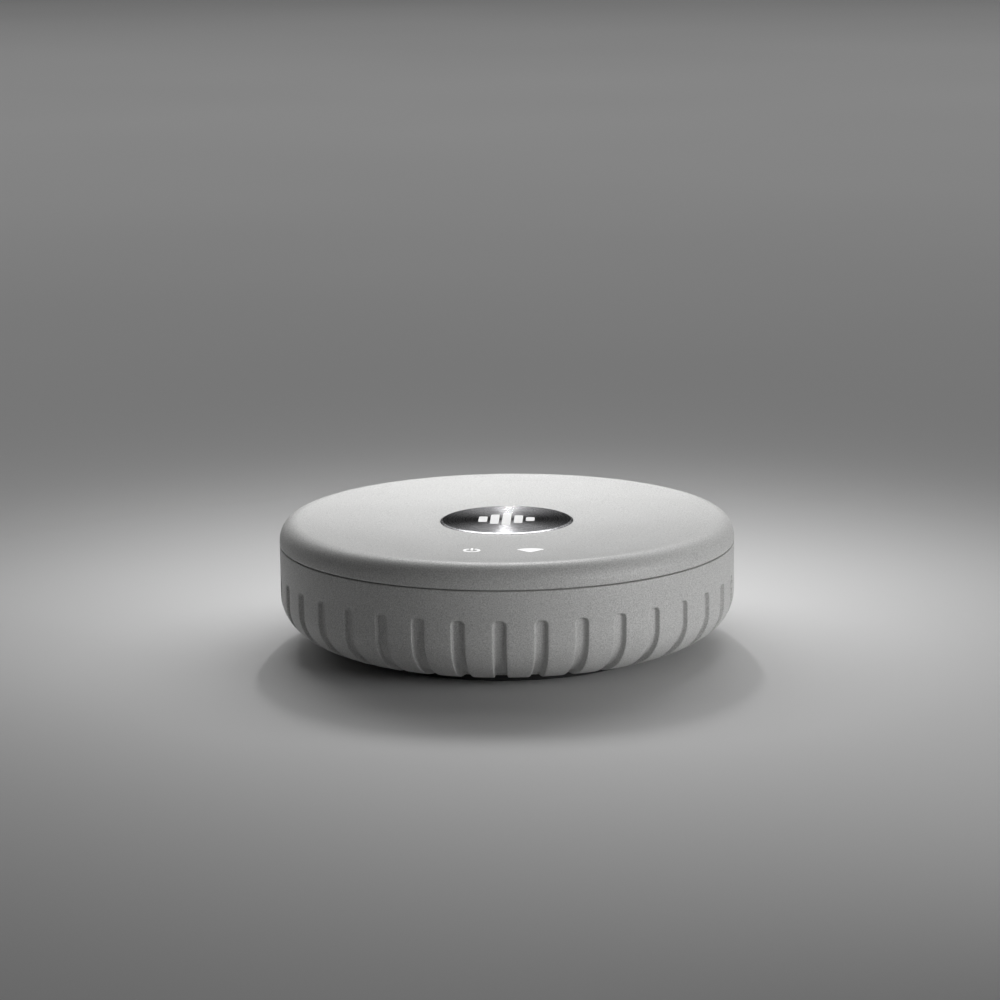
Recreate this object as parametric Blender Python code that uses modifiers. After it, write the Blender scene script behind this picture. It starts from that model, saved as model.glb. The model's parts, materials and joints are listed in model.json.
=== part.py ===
"""Round wireless audio receiver: a shallow puck with a dished lid, a fluted lower housing and a
recessed bay of sockets at the back.

Frame: metres, +Z up, origin at the centre of the feet's contact plane. The front, with the two
touch symbols, faces -Y. The socket bay faces +Y.
"""

import math

import bmesh
import bpy
from mathutils import Matrix, Vector

MM = 0.001
GAP = 0.3 * MM  # left between pieces that touch on the real object

# ---- Driving dimensions of the outside ------------------------------------------------------
BODY_RADIUS = 62.5 * MM
SEAM_Z = 29.6 * MM  # middle of the line between lid and housing
BODY_STEPS = 72  # facets round the shells
HALF_STEP = math.radians(2.5)  # puts a facet, not a corner, in the middle of each flute

# Lower housing: an upright wall that curls under along a superellipse to a flat underside.
CURL_TOP_Z = 16.0 * MM
CURL_WIDTH = 18.35 * MM
CURL_HEIGHT = 13.2 * MM
CURL_POWER = 2.12
CURL_CENTRE_R = BODY_RADIUS - CURL_WIDTH
UNDERSIDE_Z = CURL_TOP_Z - CURL_HEIGHT
WALL = 3.4 * MM
FLANGE_INNER_R = 40.5 * MM
FLANGE_OUTER_R = 50.0 * MM
FLANGE_Z = (5.3 * MM, 7.0 * MM)

# Flutes: shallow grooves, evenly spaced, left out where the socket bay is.
FLUTE_COUNT = 36
FLUTE_WIDTH = 4.0 * MM
FLUTE_DEPTH = 1.3 * MM
FLUTE_TOP_Z = SEAM_Z - 7.8 * MM
FLUTE_END_R = 45.5 * MM  # where a flute stops on the underside
FLUTE_CORNER = 1.5 * MM
FLUTES_MISSING_EACH_SIDE = 3  # of the one that would be in the middle of the bay

# Lid: rounded shoulder, then a shallow dish that falls towards the badge.
LID_EDGE_Z = SEAM_Z + GAP / 2
SHOULDER_CENTRE_Z = 30.5 * MM
SHOULDER_WIDTH = 5.0 * MM
SHOULDER_HEIGHT = 5.6 * MM
SHOULDER_POWER = 2.1
RIM_R = BODY_RADIUS - SHOULDER_WIDTH
RIM_Z = SHOULDER_CENTRE_Z + SHOULDER_HEIGHT
LID_WALL = 2.2 * MM
SKIRT_R = (57.4 * MM, 58.8 * MM)  # tongue that centres the lid in the housing
SKIRT_Z = 26.7 * MM
BADGE_R = 18.2 * MM
BADGE_TOP_Z = 35.05 * MM
BADGE_PROUD = 0.3 * MM
BADGE_CHAMFER = (0.6 * MM, 0.25 * MM)  # across, down
BADGE_THICKNESS = 1.1 * MM
ADHESIVE_THICKNESS = 0.25 * MM
RECESS_Z = BADGE_TOP_Z - BADGE_THICKNESS - ADHESIVE_THICKNESS - 2 * GAP
DISH_EDGE_Z = BADGE_TOP_Z - BADGE_PROUD  # lid surface beside the badge
DISH_RISE = (RIM_Z - DISH_EDGE_Z) / (RIM_R**2 - BADGE_R**2)
DISH_MIDDLE_R = 38.0 * MM  # corner of the dish, close to the touch symbols

# Base
BASE_R = CURL_CENTRE_R - GAP
BASE_Z = (UNDERSIDE_Z, 5.0 * MM)
FOOT_R = (32.0 * MM, 41.5 * MM)  # wide enough to hide the case screws
FOOT_TOP_Z = 3.2 * MM

# Case screws: up through the base into four columns that hang from the lid.
CASE_SCREW_R = 35.5 * MM
CASE_SCREW_ANGLES = (45, 135, 225, 315)
COLUMN_R = 3.7 * MM
COLUMN_FOOT_Z = 7.9 * MM
SCREW_BORE_R = 1.8 * MM
SCREW_R = 1.5 * MM
BASE_BOSS_R = 4.4 * MM
BASE_BOSS_Z = COLUMN_FOOT_Z - GAP
SCREW_HEAD_R = 2.7 * MM
SCREW_SEAT_Z = 5.8 * MM

# Main board
BOARD_R = 53.5 * MM
BOARD_Z = (9.0 * MM, 10.6 * MM)
PARTS_Z = BOARD_Z[1] + GAP  # underside of what is soldered to the board
BOARD_SCREW_R = 36.5 * MM
BOARD_SCREW_ANGLES = (0, 180, 250)
BOARD_SCREW_SHANK_R = 1.2 * MM
BOARD_SCREW_HEAD_R = 2.3 * MM
STANDOFF_R = 3.0 * MM
STANDOFF_BORE_R = 1.5 * MM

# Socket bay
BAY_HALF_WIDTH = 28.0 * MM
BAY_Z = (10.0 * MM, 24.6 * MM)
BAY_CORNER = 3.0 * MM
BAY_WALL = 2.0 * MM
FACE_Y = 48.0 * MM  # outer face of the socket panel
PANEL_Y = (FACE_Y - 1.8 * MM, FACE_Y)
SOCKET_Z = 17.3 * MM  # height of the socket centres
SOCKET_FRONT_Y = PANEL_Y[0] - GAP
DC_X = 21.5 * MM
RCA_X = {"right": 9.0 * MM, "left": -4.5 * MM}
OPTICAL_X = -16.0 * MM
BUTTON_X = -25.0 * MM
SOCKET_BODY_TOP_Z = SOCKET_Z + 5.2 * MM

# Power inlet, for a barrel plug
DC_HALF_WIDTH = 4.6 * MM
DC_Y = (FACE_Y - 15.0 * MM, FACE_Y + 0.4 * MM)
DC_NOSE_R = 4.2 * MM
DC_BORE_R = 3.2 * MM
DC_BORE_Y = FACE_Y - 9.0 * MM  # floor of the plug's bore
DC_PIN_R = 1.0 * MM

# Phono sockets
RCA_HALF_WIDTH = 5.0 * MM
RCA_BACK_Y = FACE_Y - 11.0 * MM
RCA_SEAT_Y = FACE_Y - 6.0 * MM  # floor of the groove that holds the barrel
RCA_HOLE_Y = FACE_Y - 4.0 * MM
RCA_COLLAR_Y = FACE_Y + 0.3 * MM
RCA_TIP_Y = FACE_Y + 8.4 * MM
RCA_COLLAR_R = 5.2 * MM
RCA_BARREL_R = (3.55 * MM, 4.15 * MM)
RCA_CORE_R = 3.2 * MM
RCA_HOLE_R = 1.65 * MM

# Optical socket and its sprung shutter
OPTICAL_HALF_WIDTH = 5.5 * MM
OPTICAL_Z = (PARTS_Z, SOCKET_Z + 5.5 * MM)
OPTICAL_Y = (FACE_Y - 13.5 * MM, FACE_Y + 0.3 * MM)
OPTICAL_MOUTH = (4.2 * MM, 3.15 * MM)  # half width, half height
OPTICAL_LIP = 1.0 * MM
OPTICAL_CHAMBER_DEPTH = 10.5 * MM
OPTICAL_CHAMBER_TOP_Z = SOCKET_Z + 4.5 * MM
OPTICAL_BORE_Y = OPTICAL_Y[0] + 2.0 * MM  # floor of the light's bore
OPTICAL_BORE_R = 1.3 * MM
SHUTTER_HINGE = (OPTICAL_Y[1] - 1.65 * MM, SOCKET_Z + 3.6 * MM)  # y, z
SHUTTER_THICKNESS = 0.7 * MM
SHUTTER_DROP = 6.6 * MM
SHUTTER_PIVOT_R = 0.5 * MM
SHUTTER_PIVOT_REACH = 4.7 * MM

# Pairing button
BUTTON_R = 2.0 * MM
BUTTON_FLANGE_R = 2.8 * MM
BUTTON_TIP_Y = FACE_Y + 0.9 * MM
BUTTON_FOOT_Y = FACE_Y - 3.8 * MM
PLUNGER_R = 1.2 * MM
PLUNGER_BACK_Y = FACE_Y - 7.1 * MM
SWITCH_Y = (FACE_Y - 9.0 * MM, FACE_Y - 5.2 * MM)
SWITCH_WELL_Y = FACE_Y - 8.0 * MM

# Touch symbols, lit from below
SYMBOL_Y = -40.1 * MM
SYMBOL_GAP = 0.2 * MM  # finer than elsewhere, because the strokes stand close together
POWER_X = -7.9 * MM
POWER_RING_R = 1.95 * MM  # middle of the stroke
POWER_STROKE = 0.84 * MM
POWER_BAR_WIDTH = 0.66 * MM
POWER_BAR_Y = (0.1 * MM, 2.95 * MM)  # from the ring's centre
POWER_GAP_HALF_ANGLE = 37
WIRELESS_X = 7.57 * MM
WIRELESS_R = 5.3 * MM
WIRELESS_HALF_ANGLE = 42
WIRELESS_TIP_Y = -2.77 * MM  # the corner before it is rounded, from the symbols' middle line
WIRELESS_TIP_R = 0.75 * MM
GUIDE_Z = (30.6 * MM, 32.6 * MM)
GUIDE_R = {"power": 3.5 * MM, "wireless": 4.3 * MM}
SHROUD = (26.0 * MM, 10.4 * MM)

# Touch board, its screws and its ribbon cable
TOUCH_BOARD = (38.0 * MM, 16.0 * MM)
TOUCH_BOARD_Z = (28.2 * MM, 29.4 * MM)
TOUCH_SCREW_X = (-16.2 * MM, 16.2 * MM)
TOUCH_SCREW_R = 1.0 * MM
TOUCH_BOSS_R = 2.2 * MM
TOUCH_BORE_R = 1.3 * MM
LID_INSIDE_Z = 34.2 * MM  # within the lid's thickness, where what hangs from it starts
RIBBON_SOCKET = (9.0 * MM, 4.0 * MM, 2.0 * MM)
RIBBON_SOCKET_Y = -44.0 * MM
RIBBON_HALF_WIDTH = 3.0 * MM
RIBBON_THICKNESS = 0.25 * MM
RIBBON_BOW = 6.5 * MM

# Places on the main board, and the antennas
SHIELD_AT = (-12.0 * MM, 6.0 * MM)
SHIELD_SIZE = (26.0 * MM, 20.0 * MM, 3.4 * MM)
SHIELD_SHEET = 0.3 * MM
RADIO_AT = (17.0 * MM, 2.0 * MM)
CAPACITORS_AT = ((-7.5 * MM, 32 * MM), (0, 32 * MM), (7.5 * MM, 32 * MM), (14.2 * MM, 28.5 * MM))
CAPACITOR_R = 3.15 * MM
CAPACITOR_HEIGHT = 7.7 * MM
ANTENNA_X = 56.4 * MM
ANTENNA_THICKNESS = 0.8 * MM
ANTENNA_Y = (-13.0 * MM, 13.0 * MM)
ANTENNA_Z = (17.0 * MM, 26.0 * MM)
LEAD_R = 0.57 * MM

SMOOTH_UNDER = math.radians(30)  # edges flatter than this are shaded smooth


# ---- Helpers -------------------------------------------------------------------------------
def clear_scene():
    for old in list(bpy.data.objects):
        bpy.data.objects.remove(old)


def new_collection(name):
    made = bpy.data.collections.new(name)
    bpy.context.scene.collection.children.link(made)
    return made


def make_material(name, colour, roughness, metallic=0.0, alpha=1.0):
    made = bpy.data.materials.new(name)
    made.use_nodes = True
    shader = made.node_tree.nodes["Principled BSDF"]
    shader.inputs["Base Color"].default_value = (*colour, 1.0)
    shader.inputs["Roughness"].default_value = roughness
    shader.inputs["Metallic"].default_value = metallic
    shader.inputs["Alpha"].default_value = alpha
    return made


def place(name, mesh, material, location=(0, 0, 0), rotation=(0, 0, 0)):
    """A named part in the receiver's collection, or a hidden cutter where material is None."""
    made = bpy.data.objects.new(name, mesh)
    made.location = location
    made.rotation_euler = rotation
    if material is None:
        CUTTERS.objects.link(made)
        made.hide_render = True
        made.display_type = "WIRE"
    else:
        RECEIVER.objects.link(made)
        mesh.materials.append(material)
    return made


def mesh_from(bm, name):
    mesh = bpy.data.meshes.new(name)
    bm.to_mesh(mesh)
    bm.free()
    return mesh


def smooth(mesh):
    mesh.shade_smooth()
    mesh.set_sharp_from_angle(angle=SMOOTH_UNDER)
    return mesh


def evaluated_mesh(made):
    """The mesh that an object's modifiers or curve settings make. The object itself goes."""
    graph = bpy.context.evaluated_depsgraph_get()
    mesh = bpy.data.meshes.new_from_object(made.evaluated_get(graph))
    bpy.data.objects.remove(made)
    return mesh


def box(name, material, x, y, z, rounded=0.0, along=2):
    """A box between low and high values on each axis, with its edges along one axis rounded."""
    low, high = Vector((x[0], y[0], z[0])), Vector((x[1], y[1], z[1]))
    bm = bmesh.new()
    bmesh.ops.create_cube(bm, size=1, matrix=Matrix.Diagonal((*(high - low), 1)))
    if rounded:
        chosen = [e for e in bm.edges if e.verts[0].co[along] * e.verts[1].co[along] < 0]
        bmesh.ops.bevel(
            bm, geom=chosen, offset=rounded, offset_type="OFFSET", segments=3,
            profile=0.5, affect="EDGES",
        )
    return place(name, mesh_from(bm, name), material, location=(low + high) / 2)


def turned(name, material, profile, steps=24, location=(0, 0, 0), rotation=(0, 0, 0)):
    """A solid turned about Z. The profile's (radius, z) points run down the outer side."""
    bm = bmesh.new()
    points = [bm.verts.new((r, 0, z)) for r, z in profile]
    for a, b in zip(points, points[1:]):
        bm.edges.new((a, b))
    on_axis = profile[0][0] == 0 and profile[-1][0] == 0
    if not on_axis:
        bm.edges.new((points[-1], points[0]))
    outline = place(f"outline_{name}", mesh_from(bm, name), None)
    screw = outline.modifiers.new("turn", "SCREW")
    screw.angle = math.tau
    screw.steps = steps
    screw.render_steps = steps
    screw.use_merge_vertices = True
    screw.merge_threshold = 0.00001
    return place(name, smooth(evaluated_mesh(outline)), material, location, rotation)


def disc(name, material, radius, z, steps=24, at=(0, 0)):
    """A plain upright cylinder between two heights."""
    bm = bmesh.new()
    bmesh.ops.create_cone(
        bm, cap_ends=True, segments=steps, radius1=radius, radius2=radius, depth=z[1] - z[0]
    )
    middle = (at[0], at[1], (z[0] + z[1]) / 2)
    return place(name, smooth(mesh_from(bm, name)), material, middle)


def ring(name, material, radii, z, steps=24, at=(0, 0)):
    """A plain upright tube between two heights."""
    inner, outer = radii
    profile = [(outer, z[1]), (outer, z[0]), (inner, z[0]), (inner, z[1])]
    return turned(name, material, profile, steps, location=(at[0], at[1], 0))


def along_y(name, material, profile, x, z, steps=24):
    """A solid turned about a line that points out of the back: profile is (radius, y)."""
    return turned(
        name, material, profile, steps, location=(x, 0, z), rotation=(-math.pi / 2, 0, 0)
    )


def boolean(target, other, operation):
    step = target.modifiers.new(operation.lower(), "BOOLEAN")
    step.operation = operation
    step.object = other
    step.solver = "EXACT"
    return target


def cut(target, cutter):
    return boolean(target, cutter, "DIFFERENCE")


def join(target, other):
    return boolean(target, other, "UNION")


def polar(radius, degrees):
    angle = math.radians(degrees)
    return radius * math.cos(angle), radius * math.sin(angle)


def quarter(centre_r, centre_z, width, height, power, count):
    """Points of a superellipse quarter, from its widest point to its highest or lowest point."""
    points = []
    for i in range(count + 1):
        t = math.pi / 2 * i / count
        across = max(math.cos(t), 0.0) ** (2 / power)
        along = math.sin(t) ** (2 / power)
        points.append((centre_r + width * across, centre_z + height * along))
    points[-1] = (centre_r, centre_z + height)
    return points


# ---- Outer shells --------------------------------------------------------------------------
def curl(inset, count):
    """The housing's curled-under outline, moved inwards, from the wall to the underside."""
    return quarter(
        CURL_CENTRE_R, CURL_TOP_Z, CURL_WIDTH - inset, inset - CURL_HEIGHT, CURL_POWER, count
    )


def dish_z(radius):
    return DISH_EDGE_Z + DISH_RISE * (radius**2 - BADGE_R**2)


def make_lower_housing():
    top = SEAM_Z - GAP / 2
    inner_curl = [p for p in curl(WALL, 8) if p[1] > FLANGE_Z[1]]
    profile = (
        [(BODY_RADIUS, top)]
        + curl(0, 8)
        + [
            (CURL_CENTRE_R, FLANGE_Z[0]),
            (FLANGE_INNER_R, FLANGE_Z[0]),
            (FLANGE_INNER_R, FLANGE_Z[1]),
            (FLANGE_OUTER_R, FLANGE_Z[1]),
        ]
        + inner_curl[::-1]
        + [(BODY_RADIUS - WALL, top)]
    )
    housing = turned(
        "lower_housing", PAINT, profile, BODY_STEPS, rotation=(0, 0, HALF_STEP)
    )
    join(housing, make_bay_walls())
    bay = box(
        "cutter_bay", None,
        (-BAY_HALF_WIDTH, BAY_HALF_WIDTH),
        (FACE_Y, BODY_RADIUS + 2 * MM),
        BAY_Z,
        rounded=BAY_CORNER, along=1,
    )
    cut(housing, bay)
    cut(housing, make_flute_cutter())
    return housing


def inset_outline(name, inset):
    """A hidden solid of the housing's outline, moved inwards."""
    return turned(
        name, None,
        [(0, SEAM_Z), (BODY_RADIUS - inset, SEAM_Z)] + curl(inset, 8)
        + [(0, UNDERSIDE_Z + inset)],
        BODY_STEPS, rotation=(0, 0, HALF_STEP),
    )


def make_bay_walls():
    """The bay's floor, ceiling and cheeks: a block kept inside the housing's own wall."""
    half = BAY_HALF_WIDTH + BAY_WALL
    block = box(
        "guide_bay_walls", None,
        (-half, half),
        (FACE_Y + GAP, BODY_RADIUS),
        (BAY_Z[0] - BAY_WALL, BAY_Z[1] + 1.8 * MM),
    )
    return boolean(block, inset_outline("guide_bay_limit", 0.7 * MM), "INTERSECT")


def make_flute_cutter():
    """Radial slabs with rounded tops, less a core whose surface is the flutes' floor."""
    slab_length = BODY_RADIUS + 3 * MM - FLUTE_END_R
    slab_height = FLUTE_TOP_Z + 1 * MM
    slab = bmesh.new()
    bmesh.ops.create_cube(
        slab, size=1, matrix=Matrix.Diagonal((FLUTE_WIDTH, slab_length, slab_height, 1))
    )
    top_edges = [
        e for e in slab.edges
        if all(v.co.z > 0 for v in e.verts) and e.verts[0].co.y * e.verts[1].co.y < 0
    ]
    bmesh.ops.bevel(
        slab, geom=top_edges, offset=FLUTE_CORNER, offset_type="OFFSET", segments=3,
        profile=0.5, affect="EDGES",
    )
    middle = Vector((0, -FLUTE_END_R - slab_length / 2, FLUTE_TOP_Z - slab_height / 2))
    slab.transform(Matrix.Translation(middle))
    one = mesh_from(slab, "one_flute")

    every = bmesh.new()
    bay_index = FLUTE_COUNT // 2
    for i in range(FLUTE_COUNT):
        if abs(i - bay_index) > FLUTES_MISSING_EACH_SIDE:
            first = len(every.verts)
            every.from_mesh(one)
            every.verts.ensure_lookup_table()
            turn = Matrix.Rotation(math.tau * i / FLUTE_COUNT, 4, "Z")
            bmesh.ops.transform(every, matrix=turn, verts=every.verts[first:])
    slabs = place("cutter_flutes", mesh_from(every, "cutter_flutes"), None)

    return cut(slabs, inset_outline("guide_flute_floor", FLUTE_DEPTH))


def make_top_cover():
    shoulder = quarter(
        RIM_R, SHOULDER_CENTRE_Z, SHOULDER_WIDTH, SHOULDER_HEIGHT, SHOULDER_POWER, 6
    )
    recess_r = BADGE_R + GAP
    under = -LID_WALL
    profile = (
        [
            (0, RECESS_Z),
            (recess_r, RECESS_Z),
            (recess_r, dish_z(recess_r)),
            (DISH_MIDDLE_R, dish_z(DISH_MIDDLE_R)),
        ]
        + shoulder[::-1]
        + [
            (BODY_RADIUS, LID_EDGE_Z),
            (SKIRT_R[1], LID_EDGE_Z),
            (SKIRT_R[1], SKIRT_Z),
            (SKIRT_R[0], SKIRT_Z),
            (SKIRT_R[0], 31.6 * MM),
            (RIM_R - 2 * MM, dish_z(RIM_R) + under),
            (DISH_MIDDLE_R, dish_z(DISH_MIDDLE_R) + under),
            (recess_r + 1 * MM, dish_z(recess_r) + under),
            (recess_r + 1 * MM, RECESS_Z + under),
            (0, RECESS_Z + under),
        ]
    )
    lid = turned("top_cover", PAINT, profile, BODY_STEPS, rotation=(0, 0, HALF_STEP))
    for i, angle in enumerate(CASE_SCREW_ANGLES):
        at = polar(CASE_SCREW_R, angle)
        column = disc(f"guide_column_{i}", None, COLUMN_R, (COLUMN_FOOT_Z, LID_INSIDE_Z), 16, at)
        bore_z = (COLUMN_FOOT_Z - 2 * MM, COLUMN_FOOT_Z + 12 * MM)
        cut(column, disc(f"cutter_column_{i}", None, SCREW_BORE_R, bore_z, 12, at))
        join(lid, column)
    for i, x in enumerate(TOUCH_SCREW_X):
        at = (x, SYMBOL_Y)
        boss_z = (TOUCH_BOARD_Z[1] + GAP, LID_INSIDE_Z)
        boss = disc(f"guide_touch_boss_{i}", None, TOUCH_BOSS_R, boss_z, 12, at)
        bore_z = (TOUCH_BOARD_Z[1] - 1 * MM, TOUCH_BOARD_Z[1] + 2.6 * MM)
        cut(boss, disc(f"cutter_touch_boss_{i}", None, TOUCH_BORE_R, bore_z, 12, at))
        join(lid, boss)
    cut_symbol_openings(lid)


def make_badge():
    across, down = BADGE_CHAMFER
    bottom = BADGE_TOP_Z - BADGE_THICKNESS
    turned(
        "badge_disc", ALUMINIUM,
        [
            (0, BADGE_TOP_Z),
            (BADGE_R - across, BADGE_TOP_Z),
            (BADGE_R, BADGE_TOP_Z - down),
            (BADGE_R, bottom),
            (0, bottom),
        ],
        48,
    )
    disc(
        "badge_adhesive", ADHESIVE, BADGE_R - 1 * MM,
        (RECESS_Z + GAP, RECESS_Z + GAP + ADHESIVE_THICKNESS), 36,
    )


# ---- Base ----------------------------------------------------------------------------------
def make_base():
    groove = (FOOT_R[0] - GAP, FOOT_R[1] + GAP)
    groove_z = FOOT_TOP_Z + GAP
    plate = turned(
        "base_plate", BLACK_PLASTIC,
        [
            (0, BASE_Z[1]),
            (BASE_R, BASE_Z[1]),
            (BASE_R, BASE_Z[0]),
            (groove[1], BASE_Z[0]),
            (groove[1], groove_z),
            (groove[0], groove_z),
            (groove[0], BASE_Z[0]),
            (0, BASE_Z[0]),
        ],
        BODY_STEPS, rotation=(0, 0, HALF_STEP),
    )
    for i, angle in enumerate(CASE_SCREW_ANGLES):
        at = polar(CASE_SCREW_R, angle)
        boss = disc(f"guide_base_boss_{i}", None, BASE_BOSS_R, (4 * MM, BASE_BOSS_Z), 16, at)
        join(plate, boss)
        cut(
            plate,
            turned(
                f"cutter_base_boss_{i}", None,
                [
                    (0, 9 * MM),
                    (SCREW_BORE_R, 9 * MM),
                    (SCREW_BORE_R, SCREW_SEAT_Z),
                    (SCREW_HEAD_R + GAP, SCREW_SEAT_Z),
                    (SCREW_HEAD_R + GAP, 1 * MM),
                    (0, 1 * MM),
                ],
                12, location=(*at, 0),
            ),
        )
        turned(
            f"case_screw_{i + 1}", STEEL,
            [
                (0, 17 * MM),
                (SCREW_R, 16 * MM),
                (SCREW_R, SCREW_SEAT_Z - GAP),
                (SCREW_HEAD_R, SCREW_SEAT_Z - GAP),
                (SCREW_HEAD_R, 3.7 * MM),
                (1.2 * MM, 3.7 * MM),
                (0.9 * MM, 4.6 * MM),
                (0, 4.6 * MM),
            ],
            12, location=(*at, 0),
        )
    for i, angle in enumerate(BOARD_SCREW_ANGLES):
        at = polar(BOARD_SCREW_R, angle)
        standoff = disc(
            f"guide_standoff_{i}", None, STANDOFF_R, (4 * MM, BOARD_Z[0] - GAP), 12, at
        )
        bore_z = (BASE_Z[1] + 0.6 * MM, BOARD_Z[1])
        cut(standoff, disc(f"cutter_standoff_{i}", None, STANDOFF_BORE_R, bore_z, 10, at))
        join(plate, standoff)
    ring("foot_ring", RUBBER, FOOT_R, (0, FOOT_TOP_Z), BODY_STEPS)


# ---- Main board and what is soldered to it ----------------------------------------------------
def make_main_board():
    board = disc("main_board", BOARD_GREEN, BOARD_R, BOARD_Z, 48)
    cut(
        board,
        box(
            "cutter_board_back", None,
            (-BODY_RADIUS, BODY_RADIUS),
            (PANEL_Y[0] - 0.6 * MM, BODY_RADIUS + 5 * MM),
            (5 * MM, 15 * MM),
        ),
    )
    for i, angle in enumerate(CASE_SCREW_ANGLES):
        at = polar(CASE_SCREW_R, angle)
        cut(board, disc(f"cutter_board_column_{i}", None, 4.8 * MM, (5 * MM, 15 * MM), 16, at))
    for i, angle in enumerate(BOARD_SCREW_ANGLES):
        at = polar(BOARD_SCREW_R, angle)
        cut(board, disc(f"cutter_board_screw_{i}", None, 1.6 * MM, (5 * MM, 15 * MM), 12, at))
        turned(
            f"board_screw_{i + 1}", STEEL,
            [
                (0, PARTS_Z + 0.6 * MM),
                (0.8 * MM, PARTS_Z + 0.6 * MM),
                (1.1 * MM, PARTS_Z + 1.5 * MM),
                (BOARD_SCREW_HEAD_R, PARTS_Z + 1.5 * MM),
                (BOARD_SCREW_HEAD_R, PARTS_Z),
                (BOARD_SCREW_SHANK_R, PARTS_Z),
                (BOARD_SCREW_SHANK_R, 6.2 * MM),
                (0, 6.2 * MM),
            ],
            12, location=(*at, 0),
        )


def chip(name, material, middle, size, lift=0.0):
    """A component on the main board, by its middle in plan and its size."""
    (x, y), (width, depth, height) = middle, size
    bottom = PARTS_Z + lift
    return box(
        name, material,
        (x - width / 2, x + width / 2),
        (y - depth / 2, y + depth / 2),
        (bottom, bottom + height),
    )


def make_processor():
    """Processor, memory and crystal under one tin can, with a pad that carries heat to it."""
    middle, size = Vector(SHIELD_AT), Vector(SHIELD_SIZE)
    bm = bmesh.new()
    bmesh.ops.create_cube(bm, size=1, matrix=Matrix.Diagonal((*size, 1)))
    floor = [f for f in bm.faces if f.normal.z < -0.5]
    bmesh.ops.delete(bm, geom=floor, context="FACES_ONLY")
    can = place(
        "processor_shield", mesh_from(bm, "processor_shield"), TIN,
        location=(*middle, PARTS_Z + size.z / 2),
    )
    wall = can.modifiers.new("sheet", "SOLIDIFY")
    wall.thickness = SHIELD_SHEET
    wall.offset = -1
    processor = middle + Vector((-5 * MM, 0))
    chip("processor", CHIP_BLACK, processor, (12 * MM, 12 * MM, 1.2 * MM))
    chip("memory_chip", CHIP_BLACK, middle + Vector((7.5 * MM, 3 * MM)),
         (7 * MM, 9 * MM, 1.0 * MM))
    chip("crystal", TIN, middle + Vector((7 * MM, -6 * MM)), (3.2 * MM, 2.5 * MM, 0.8 * MM))
    chip("thermal_pad", ADHESIVE, processor, (10 * MM, 10 * MM, 1.0 * MM), lift=1.5 * MM)


def make_small_electronics():
    make_processor()
    chip("radio_module", TIN, RADIO_AT, (15 * MM, 12 * MM, 2.4 * MM))
    chip("dac_chip", CHIP_BLACK, (3 * MM, 24 * MM), (7 * MM, 7 * MM, 1.0 * MM))
    chip("opamp_chip", CHIP_BLACK, (-9 * MM, 25 * MM), (5 * MM, 4 * MM, 1.5 * MM))
    chip("power_inductor", CHIP_BLACK, (17 * MM, 21 * MM), (7 * MM, 7 * MM, 4.0 * MM))
    top = PARTS_Z + CAPACITOR_HEIGHT
    for i, (x, y) in enumerate(CAPACITORS_AT):
        turned(
            f"capacitor_{i + 1}", TIN,
            [
                (0, top),
                (CAPACITOR_R - 0.25 * MM, top),
                (CAPACITOR_R, top - 0.4 * MM),
                (CAPACITOR_R, PARTS_Z),
                (0, PARTS_Z),
            ],
            20, location=(x, y, 0),
        )
    chip("main_ribbon_socket", WHITE_PLASTIC, (0, RIBBON_SOCKET_Y), RIBBON_SOCKET)


# ---- Sockets in the bay ----------------------------------------------------------------------
def make_port_panel():
    half = BAY_HALF_WIDTH + BAY_WALL - 0.4 * MM
    panel = box(
        "port_panel", BLACK_PLASTIC,
        (-half, half),
        PANEL_Y,
        (BAY_Z[0] - BAY_WALL + GAP, BAY_Z[1] + 1.5 * MM),
    )
    boolean(panel, inset_outline("guide_panel_limit", WALL + GAP), "INTERSECT")
    through = (PANEL_Y[0] - 1 * MM, PANEL_Y[1] + 1 * MM)
    holes = [("dc", DC_X, DC_NOSE_R + GAP), ("button", BUTTON_X, BUTTON_R + GAP)]
    holes += [(f"rca_{side}", x, RCA_COLLAR_R + GAP) for side, x in RCA_X.items()]
    for name, x, radius in holes:
        profile = [(0, through[1]), (radius, through[1]), (radius, through[0]), (0, through[0])]
        cut(panel, along_y(f"cutter_panel_{name}", None, profile, x, SOCKET_Z, 24))
    cut(
        panel,
        box(
            "cutter_panel_optical", None,
            (OPTICAL_X - OPTICAL_HALF_WIDTH - GAP, OPTICAL_X + OPTICAL_HALF_WIDTH + GAP),
            through,
            (OPTICAL_Z[0] - GAP, OPTICAL_Z[1] + GAP),
        ),
    )


def make_dc_inlet():
    back, tip = DC_Y
    body = box(
        "dc_inlet", BLACK_PLASTIC,
        (DC_X - DC_HALF_WIDTH, DC_X + DC_HALF_WIDTH),
        (back, SOCKET_FRONT_Y),
        (PARTS_Z, SOCKET_BODY_TOP_Z),
    )
    root = SOCKET_FRONT_Y - 2 * MM
    nose = [(0, tip), (DC_NOSE_R, tip), (DC_NOSE_R, root), (0, root)]
    join(body, along_y("guide_dc_nose", None, nose, DC_X, SOCKET_Z, 20))
    out = tip + 1 * MM
    bore = [(0, out), (DC_BORE_R, out), (DC_BORE_R, DC_BORE_Y), (0, DC_BORE_Y)]
    cut(body, along_y("cutter_dc_bore", None, bore, DC_X, SOCKET_Z, 20))
    pin_foot, pin_tip = DC_BORE_Y + GAP, tip - 1.2 * MM
    along_y(
        "dc_inlet_pin", NICKEL,
        [
            (0, pin_tip),
            (0.6 * DC_PIN_R, pin_tip - 0.2 * MM),
            (DC_PIN_R, pin_tip - 0.8 * MM),
            (DC_PIN_R, pin_foot),
            (0, pin_foot),
        ],
        DC_X, SOCKET_Z, 12,
    )


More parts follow.
